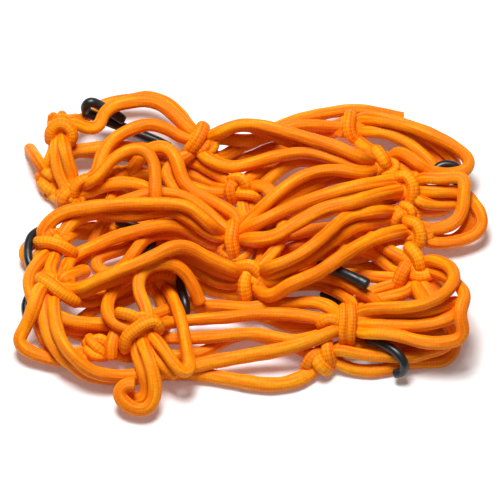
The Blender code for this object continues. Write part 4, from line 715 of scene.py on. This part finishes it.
def knot_depth(name):
    heap, _ = settled_heap()
    return heap.depth[heap.first[heap.line_count + list(KNOTS).index(name)]]


def turn_line(turn):
    """The middle line of one turn of a knot, arching over it and down at its ends."""
    _, shift = settled_heap()
    path = smooth_line([(*bend, 0.0) for bend in turn.bends], 0.5)
    along = np.linspace(0, 1, len(path))
    if turn.wraps:
        angle = np.linspace(0, 2 * math.pi, WRAP_POINTS, endpoint=False)
    else:
        angle = np.linspace(-TURN_REST * math.pi, (1 + TURN_REST) * math.pi, ARCH_POINTS)
    place = (1 - np.cos(angle)) / 2
    across = np.interp(place, along, path[:, 0])
    up = np.interp(place, along, path[:, 1])
    rise = np.abs(turn.rise) * np.sin(angle)
    rise = np.where(rise < 0, BACK_SHARE * rise, rise)
    depth = knot_depth(turn.knot) + (rise if turn.rise > 0 else -rise)
    return in_row_frame(across, up, depth, shift)


def frames_along(points, closed):
    """Two cross directions at every point of a line, turned no more than its bends."""
    ahead = (np.roll(points, -1, axis=0) - np.roll(points, 1, axis=0) if closed
             else np.gradient(points, axis=0))
    ahead /= np.linalg.norm(ahead, axis=1)[:, None]
    side = np.cross(ahead[0], (0, 0, 1.0))
    if np.linalg.norm(side) < 0.2:
        side = np.cross(ahead[0], (1.0, 0, 0))
    sides = []
    for direction in ahead:
        side = side - direction * (side @ direction)
        side /= np.linalg.norm(side)
        sides.append(side)
    sides = np.array(sides)
    others = np.cross(ahead, sides)
    if closed:
        last = sides[-1] - ahead[0] * (sides[-1] @ ahead[0])
        gap = math.atan2(last @ others[0], last @ sides[0])
        turn = -gap * np.arange(len(points)) / len(points)
        cosine, sine = np.cos(turn)[:, None], np.sin(turn)[:, None]
        sides, others = sides * cosine + others * sine, others * cosine - sides * sine
    return sides, others


def cord_section(sides, along, radius, phase):
    """Radii round a cord at one place: not quite round, with soft lengthwise creases."""
    angle = 2 * math.pi * np.arange(sides) / sides
    wander = phase + 0.02 * along
    oval = 0.05 * np.cos(2 * (angle - wander))
    lobes = 1.0 - 2.0 * np.abs(np.cos(2 * (angle + 0.7 * wander))) ** 0.6
    crease = -0.016 * lobes + 0.02 * np.cos(3 * angle - phase)
    swell = 0.03 * math.sin(0.21 * along + 3 * phase) + 0.02 * math.sin(0.53 * along + phase)
    return radius * (1 + swell + oval + crease)


def tip_rings(ring, end, before, tip):
    """The rings that close a tube's end, from its tip in to the last full ring."""
    out = (end - before) / np.linalg.norm(end - before)
    return [end + (ring - end) * share + out * tip * reach for share, reach, _ in TIP_RINGS]


def wrap_tube(made, points, section, sides, closed=False, tip=0.7):
    """Wraps a grid round a line of points, in millimetres, with its ends closed.

    `section` gives the radii of the ring at a distance along the line.  The map
    goes once round the cord, and along it in millimetres.
    """
    if closed:
        points = points[:-1] if np.allclose(points[0], points[-1]) else points
    across, upward = frames_along(points, closed)
    steps = np.linalg.norm(np.diff(points, axis=0), axis=1)
    along = np.concatenate([[0.0], np.cumsum(steps)])
    angle = 2 * math.pi * np.arange(sides) / sides
    round_about = np.stack([np.cos(angle), np.sin(angle)], axis=1)
    rings = []
    for i, point in enumerate(points):
        radii = section(along[i])
        offset = (np.outer(round_about[:, 0], across[i])
                  + np.outer(round_about[:, 1], upward[i])) * radii[:, None]
        rings.append(point + offset)
    if closed:
        rings.append(rings[0])
        along = np.append(along, along[-1] + np.linalg.norm(points[0] - points[-1]))
    else:
        head = tip_rings(rings[0], points[0], points[1], tip)
        tail = tip_rings(rings[-1], points[-1], points[-2], tip)
        past = np.array([place for _, _, place in TIP_RINGS])
        rings = head + rings + tail[::-1]
        along = np.concatenate([-past, along, along[-1] + past[::-1]])
    places = np.array(rings) * MM
    places[:, :, 2] = np.maximum(places[:, :, 2], 0.0)
    spans = len(rings) - 1
    uv = made.loops.layers.uv.get("cord") or made.loops.layers.uv.new("cord")
    grid = bmesh.ops.create_grid(made, x_segments=spans, y_segments=sides, size=1.0)["verts"]
    cells = {}
    for vert in grid:
        cells[vert] = (round((vert.co.x + 1) / 2 * spans), round((vert.co.y + 1) / 2 * sides))
    for face in {face for vert in grid for face in vert.link_faces}:
        for loop in face.loops:
            ring, corner = cells[loop.vert]
            loop[uv].uv = (corner / sides, along[ring])
    for vert, (ring, corner) in cells.items():
        vert.co = places[ring][corner % sides]
    bmesh.ops.remove_doubles(made, verts=grid, dist=1e-7)


def add_strand(made, line, radius, phase):
    """Wraps a strand's cord round its middle line."""
    wrap_tube(made, round_curve(line, CORD_STEP),
              lambda along: cord_section(CORD_SIDES, along, radius, phase), CORD_SIDES)


def strand_share(strand):
    """How thick a strand is beside the net's usual cord."""
    usual = STRETCHED if strand.level < STRETCHED_BELOW else 1.0
    return SLACK.get((strand.start, strand.end, strand.level), usual)


def wire_section(along, length, radius, ball):
    """A hook's radii at one place, swollen to the moulded end where it has one."""
    swell = 0.0
    if ball:
        swell = (ball - radius) * (1 / (1 + math.exp((length - along - BALL_LENGTH) * BALL_EDGE)))
    return np.full(WIRE_SIDES, radius + swell)


def shown_piece(name, made, finish, nodes):
    """A finished piece of the net from a bmesh: it rides on the heap's one body."""
    bmesh.ops.recalc_face_normals(made, faces=made.faces)
    mesh = bpy.data.meshes.new(name)
    made.to_mesh(mesh)
    made.free()
    mesh.shade_smooth()
    mesh.materials.append(finish)
    piece = bpy.data.objects.new(name, mesh)
    bpy.context.scene.collection.objects.link(piece)
    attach(piece, "root")
    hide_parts(*nodes)
    return piece


class Socket:
    """A material's socket, for use in Python expressions."""

    def __init__(self, finish, output):
        self.finish = finish
        self.output = output

    def maths(self, operation, *values):
        return self.finish.add("ShaderNodeMath", {"operation": operation},
                               dict(enumerate(values)))

    def __add__(self, other):
        return self.maths("ADD", self, other)

    def __sub__(self, other):
        return self.maths("SUBTRACT", self, other)

    def __rsub__(self, other):
        return self.maths("SUBTRACT", other, self)

    def __mul__(self, other):
        return self.maths("MULTIPLY", self, other)

    def __pow__(self, other):
        return self.maths("POWER", self, other)

    def sine(self):
        return self.maths("SINE", self)

    def cosine(self):
        return self.maths("COSINE", self)

    def held(self):
        """The value kept between 0 and 1."""
        return self.maths("MINIMUM", self.maths("MAXIMUM", self, 0.0), 1.0)

    __radd__ = __add__
    __rmul__ = __mul__


class Finish:
    """One material and the nodes that it is made of."""

    def __init__(self, name, **constants):
        self.material = bpy.data.materials.new(name)
        self.material.use_nodes = True
        self.surface = self.material.node_tree.nodes["Principled BSDF"]
        for socket, value in constants.items():
            self.surface.inputs[socket.replace("_", " ")].default_value = value

    def add(self, kind, settings=None, inputs=None, output=0):
        """Adds a node, its settings first, then the values or links of its sockets."""
        node = self.material.node_tree.nodes.new(kind)
        for name, value in (settings or {}).items():
            setattr(node, name, value)
        for key, value in (inputs or {}).items():
            self.join(node.inputs[key], value)
        return Socket(self, node.outputs[output])

    def join(self, socket, value):
        if isinstance(value, Socket):
            self.material.node_tree.links.new(value.output, socket)
        else:
            socket.default_value = value

    def blend(self, share, one, two):
        """A colour between two, by share."""
        return self.add("ShaderNodeMix", {"data_type": "RGBA"}, {0: share, 6: one, 7: two},
                        output=2)

    def noise(self, vector, scale, detail=2.0, roughness=0.5):
        return self.add("ShaderNodeTexNoise", inputs={
            "Vector": vector, "Scale": scale, "Detail": detail, "Roughness": roughness})

    def drive(self, **sockets):
        for socket, value in sockets.items():
            self.join(self.surface.inputs[socket.replace("_", " ")], value)


FULL_TURN = 2 * math.pi
BRAID_STARTS = 8             # strands of the cover that run each way round
BRAID_PITCH = 3.1            # mm along the cord for a strand to meet its neighbour's place
FIBRES = 64                  # fibres that show round a cord


def rgba(colour):
    return (*colour, 1.0)


def braided_cord(settings, name="braided_orange_cord", dots=0.2, stretch=1.0):
    """Glossy braided polyester over rubber: a fine weave, fibres and soft streaks, with painted shade in
    the weave's valleys and along the dark streaks and folds, and painted highlights on the light streaks;
    `dots` sets how strongly the valleys are shaded and raised.
    """
    finish = Finish(name, Specular_IOR_Level=0.15, Sheen_Weight=0.02,
                    Sheen_Roughness=0.4)
    finish.surface.inputs["Sheen Tint"].default_value = (1.0, 0.75, 0.35, 1.0)
    place = finish.add("ShaderNodeUVMap", {"uv_map": "cord"})
    parts = {name: finish.add("ShaderNodeSeparateXYZ", inputs={0: place}, output=i)
             for i, name in enumerate(("round", "along"))}
    turn = parts["round"] * FULL_TURN
    along = parts["along"]
    lead = along * (FULL_TURN / BRAID_PITCH)
    weave = (turn * BRAID_STARTS + lead).sine() * (turn * BRAID_STARTS - lead).sine()
    bulge = weave * 0.5 + 0.5
    fibre = (turn * FIBRES + lead * 2.0).sine() * 0.5 + 0.5

    def skin(stretch, width):
        """Coordinates on the cord's surface that close on themselves round it."""
        return finish.add("ShaderNodeCombineXYZ", inputs={
            0: turn.cosine() * width, 1: turn.sine() * width, 2: along * stretch})

    streak = finish.noise(skin(0.03, 1.15), 1.5, 2.0, 0.5)
    fold = finish.noise(skin(0.02, 0.9), 1.3, 1.0)
    mottle = finish.noise(skin(0.55, 1.2), 1.0, 3.0, 0.6)
    fuzz = finish.noise(skin(2.2, 5.0), 1.0, 2.0)

    # Painted shade: darker in the weave's valleys and along the dark streaks and folds, plus some random
    # mottled tone
    painted_shade_and_mottle = ((1.0 - bulge) ** 2.0 * dots + (0.5 - streak).held() * (2.0 * stretch)
              + (0.5 - fold).held() * 1.6 + (0.5 - mottle).held() * 0.6).held()
    # Painted highlight: lighter and yellower along the light streaks, plus random mottled tone and the
    # fibres
    lit = ((streak - 0.48) * 2.8 + (mottle - 0.5) * 0.9 + fibre * 0.1).held()
    body = finish.blend(lit, rgba(settings.cord_colour), rgba(settings.highlight_streak_colour))
    finish.drive(Base_Color=finish.blend(painted_shade_and_mottle, body, rgba(settings.crevice_shade_colour)),
                 Roughness=(mottle * 0.22 + fuzz * 0.1 + 0.4).held())
    height = (bulge * (1.5 * dots) + fibre * 0.1 + streak * (1.5 * stretch) + fold * 1.0
              + mottle * 0.35 + fuzz * 0.2)
    finish.drive(Normal=finish.add("ShaderNodeBump", inputs={
        "Strength": 0.6, "Distance": settings.weave_depth, "Height": height}))
    return finish.material


def coated_wire(settings):
    """Black plastic coating: faintly dimpled, duller and greyer where it is rubbed."""
    finish = Finish("black_coated_wire", Specular_IOR_Level=0.5)
    place = finish.add("ShaderNodeTexCoord", output=3)
    dimple = finish.noise(place, 900.0, 3.0, 0.6)
    rub = finish.noise(place, 90.0, 4.0, 0.55)
    worn = ((rub - 0.52) * 5.0).held()
    finish.drive(Base_Color=finish.blend(worn, rgba(settings.hook_colour),
                                         rgba(settings.rubbed_colour)),
                 Roughness=(worn * 0.16 + dimple * 0.14 + 0.27).held())
    finish.drive(Normal=finish.add("ShaderNodeBump", inputs={
        "Strength": 0.35, "Distance": 0.0002, "Height": dimple * 0.6 + rub * 0.4}))
    return finish.material


@functools.lru_cache(maxsize=None)
def finish_for(kind):
    """The one material that all pieces of a kind share."""
    settings = bpy.context.scene.cargo_net
    if kind == "knot":
        # The knots' cord: stronger painted shade in the weave's valleys, fainter streaks
        return braided_cord(settings, "braided_cord_bent_hard", dots=0.5, stretch=0.4)
    makers = {"cord": braided_cord, "hook": coated_wire}
    return makers[kind](settings)


def colour_setting(name, description, default):
    return bpy.props.FloatVectorProperty(name=name, description=description, default=default,
                                         min=0.0, max=1.0, subtype="COLOR")


def length_setting(name, description, default, least, most):
    return bpy.props.FloatProperty(name=name, description=description, default=default,
                                   min=least, max=most, unit="LENGTH", subtype="DISTANCE")


class CargoNetSettings(bpy.types.PropertyGroup):
    """Sizes and colours of the net, its hooks and its stage."""

    cord_thickness: length_setting("Cord thickness", "Width of the cord across its braid",
                                   0.0064, 0.004, 0.008)
    wire_thickness: length_setting("Hook thickness", "Width of a hook's coated wire",
                                   0.0045, 0.002, 0.006)
    weave_depth: length_setting("Weave depth", "How far the braid's strands stand out",
                                0.0004, 0.0, 0.002)
    cord_colour: colour_setting("Cord colour", "Main colour of the braid",
                                (0.93, 0.24, 0.001))
    # Painted highlight: the colour that the light streaks are brightened to
    highlight_streak_colour: colour_setting("Thread colour", "Colour of the braid where its fibres catch light",
                                  (1.0, 0.42, 0.003))
    # Painted shade: the colour that the weave's valleys, folds and dark streaks are darkened to
    crevice_shade_colour: colour_setting("Crevice colour", "Colour between the strands of the braid",
                                   (0.62, 0.055, 0.0004))
    hook_colour: colour_setting("Hook colour", "Colour of the hooks' coating",
                                (0.010, 0.011, 0.013))
    rubbed_colour: colour_setting("Rubbed colour", "Colour of the coating where it is rubbed",
                                  (0.028, 0.030, 0.033))
    floor_colour: colour_setting("Floor colour", "Colour of the plain floor",
                                 (0.90, 0.90, 0.90))
    floor_glow: bpy.props.FloatProperty(
        name="Floor glow", description="Light that shows through the floor, as on a light table",
        default=0.09, min=0.0, max=2.0)
    daylight: bpy.props.FloatProperty(
        name="Daylight", description="Strength of the even light from all round",
        default=0.09, min=0.0, max=5.0)
    overhead: bpy.props.FloatProperty(
        name="Overhead light", description="Power of the soft light over the net",
        default=27.0, min=0.0, max=200.0, unit="POWER")


class StrandsOperator(bpy.types.Operator):
    """Adds the net's strands, a piece for each side of the heap"""

    bl_idname = "mesh.cargo_net_strands"
    bl_label = "Strands"

    def execute(self, context):
        settings = context.scene.cargo_net
        index = 0
        for name, strands in STRAND_PIECES.items():
            made = bmesh.new()
            for strand in strands:
                radius = strand_share(strand) * settings.cord_thickness / MM / 2
                line = settled_line(index)
                line[:, 2] = np.maximum(line[:, 2], STRAND_LOWEST * radius)
                add_strand(made, line, radius, STRAND_PHASE * index)
                index += 1
            shown_piece(name, made, finish_for("cord"), ["net"])
        made = bmesh.new()
        radius = STRETCHED * settings.cord_thickness / MM / 2
        for number, bends in enumerate(DEEP):
            add_strand(made, deep_line(bends), radius, DEEP_PHASE * number)
        shown_piece("strands_deep", made, finish_for("cord"), ["net"])
        return {"FINISHED"}


class KnotsOperator(bpy.types.Operator):
    """Adds the knots, each of the turns of cord that show and what is packed inside"""

    bl_idname = "mesh.cargo_net_knots"
    bl_label = "Knots"

    def execute(self, context):
        made = bmesh.new()
        for number, turn in enumerate(TURNS):
            self.add_turn(made, turn, number)
        shown_piece("knot_turns", made, finish_for("knot"), ["net"])
        made = bmesh.new()
        for name, knot in KNOTS.items():
            self.add_back(made, name, knot)
        shown_piece("knot_backs", made, finish_for("knot"), ["net"])
        return {"FINISHED"}

    @staticmethod
    def add_turn(made, turn, number):
        line = round_curve(turn_line(turn), TURN_STEP, closed=turn.wraps)
        line[:, 2] = np.maximum(line[:, 2], TURN_LOWEST * turn.radius)
        wrap_tube(made, line,
                  lambda along: cord_section(TURN_SIDES, 0.0, turn.radius, TURN_PHASE * number),
                  TURN_SIDES, closed=turn.wraps, tip=TURN_TIP * turn.radius)

    @staticmethod
    def add_back(made, name, knot):
        """The knot's unseen side, and the cord that fills its middle."""
        turn = math.radians(knot.turn)
        cosine, sine = math.cos(turn), math.sin(turn)
        for bends in BACK_TURNS:
            placed = tuple((knot.across + a * cosine - b * sine, knot.up + a * sine + b * cosine)
                           for a, b in bends)
            back = Turn(name, BACK_RADIUS, BACK_RISE, False, placed)
            KnotsOperator.add_turn(made, back, BACK_NUMBER)
        _, shift = settled_heap()
        centre = in_row_frame([knot.across], [knot.up], [knot_depth(name)], shift)[0]
        core = bmesh.ops.create_icosphere(made, subdivisions=4, radius=1.0)["verts"]
        axes = Matrix(((1, 0, 0), UP_VIEW, TO_VIEWER)).transposed()
        for vert in core:
            vert.co = (axes @ Vector(a * b for a, b in zip(vert.co, KNOT_CORE))
                       + Vector(centre)) * MM
            vert.co.z = max(vert.co.z, 0.0)


class HooksOperator(bpy.types.Operator):
    """Adds the coated wire hooks that lie among the strands"""

    bl_idname = "mesh.cargo_net_hooks"
    bl_label = "Hooks"

    def execute(self, context):
        wire = context.scene.cargo_net.wire_thickness / MM / 2
        for number, (name, hook) in enumerate(HOOKS.items()):
            made = bmesh.new()
            radius = wire * THICK_WIRE.get(name, 1.0)
            line = round_curve(settled_line(len(STRANDS) + number), WIRE_STEP)
            length = np.linalg.norm(np.diff(line, axis=0), axis=1).sum()
            wrap_tube(made, line, lambda along: wire_section(along, length, radius, hook.ball),
                      WIRE_SIDES, tip=WIRE_TIP * radius)
            shown_piece(name + "_wire", made, finish_for("hook"), [name])
        return {"FINISHED"}


class StageOperator(bpy.types.Operator):
    """Adds the plain floor, the soft light and the camera"""

    bl_idname = "mesh.cargo_net_stage"
    bl_label = "Stage"

    DISTANCE = 12.0          # of the camera from the middle of the picture, in metres
    FRAME_WIDTH = 0.25       # what the picture takes in at that distance, in metres
    PICTURE_MIDDLE = -5.0    # up the view, in millimetres
    SENSOR = 36.0

    def execute(self, context):
        settings = context.scene.cargo_net
        self.add_floor(context, settings)
        self.add_light(context, settings)
        self.add_camera(context)
        return {"FINISHED"}

    @staticmethod
    def add_floor(context, settings):
        made = bmesh.new()
        bmesh.ops.create_grid(made, x_segments=1, y_segments=1, size=4.0)
        mesh = bpy.data.meshes.new("floor")
        made.to_mesh(mesh)
        made.free()
        finish = Finish("plain_pale_floor", Roughness=0.9, Specular_IOR_Level=0.1,
                        Base_Color=rgba(settings.floor_colour),
                        Emission_Strength=settings.floor_glow,
                        Emission_Color=(1.0, 1.0, 1.0, 1.0))
        mesh.materials.append(finish.material)
        floor = bpy.data.objects.new("floor", mesh)
        context.scene.collection.objects.link(floor)

    @staticmethod
    def add_light(context, settings):
        world = bpy.data.worlds.new("soft_daylight")
        world.use_nodes = True
        sky = world.node_tree.nodes["Background"]
        sky.inputs["Color"].default_value = (1.0, 1.0, 1.0, 1.0)
        sky.inputs["Strength"].default_value = settings.daylight
        context.scene.world = world
        for name, place, size, share in (("overhead", (-0.12, 0.22, 1.35), 0.6, 1.0),
                                         ("front_fill", (0.3, -1.2, 1.0), 1.2, 0.03)):
            lamp = bpy.data.lights.new(name, "AREA")
            lamp.size = size
            lamp.energy = settings.overhead * share
            holder = bpy.data.objects.new(name, lamp)
            holder.location = place
            holder.rotation_euler = (-Vector(place)).to_track_quat("-Z", "Y").to_euler()
            context.scene.collection.objects.link(holder)

    def add_camera(self, context):
        _, shift = settled_heap()
        aim = in_row_frame([0.0], [self.PICTURE_MIDDLE], [0.0], shift)[0] * MM
        lens = bpy.data.cameras.new("camera")
        lens.sensor_width = self.SENSOR
        lens.lens = self.SENSOR * self.DISTANCE / self.FRAME_WIDTH
        lens.clip_end = 20.0
        camera = bpy.data.objects.new("camera", lens)
        axes = Matrix(((1, 0, 0), UP_VIEW, TO_VIEWER)).transposed().to_4x4()
        axes.translation = Vector(aim + TO_VIEWER * self.DISTANCE)
        camera.matrix_world = axes
        context.scene.collection.objects.link(camera)
        context.scene.camera = camera


class CargoNetPanel(bpy.types.Panel):
    """The net's settings and steps, in the sidebar"""

    bl_idname = "VIEW3D_PT_cargo_net"
    bl_label = "Cargo Net"
    bl_space_type = "VIEW_3D"
    bl_region_type = "UI"
    bl_category = "Cargo Net"

    def draw(self, context):
        column = self.layout.column()
        for name in CargoNetSettings.__annotations__:
            column.prop(context.scene.cargo_net, name)
        for step in STEPS:
            column.operator(step.bl_idname)


STEPS = (StrandsOperator, KnotsOperator, HooksOperator, StageOperator)
CLASSES = (CargoNetSettings, *STEPS, CargoNetPanel)


def register():
    for kind in CLASSES:
        bpy.utils.register_class(kind)
    bpy.types.Scene.cargo_net = bpy.props.PointerProperty(type=CargoNetSettings)


def unregister():
    del bpy.types.Scene.cargo_net
    for kind in reversed(CLASSES):
        bpy.utils.unregister_class(kind)


def main():
    register()
    bpy.context.scene.view_settings.view_transform = "Standard"
    bpy.ops.mesh.cargo_net_strands()
    bpy.ops.mesh.cargo_net_knots()
    bpy.ops.mesh.cargo_net_hooks()
    bpy.ops.mesh.cargo_net_stage()


if __name__ == "__main__":
    main()
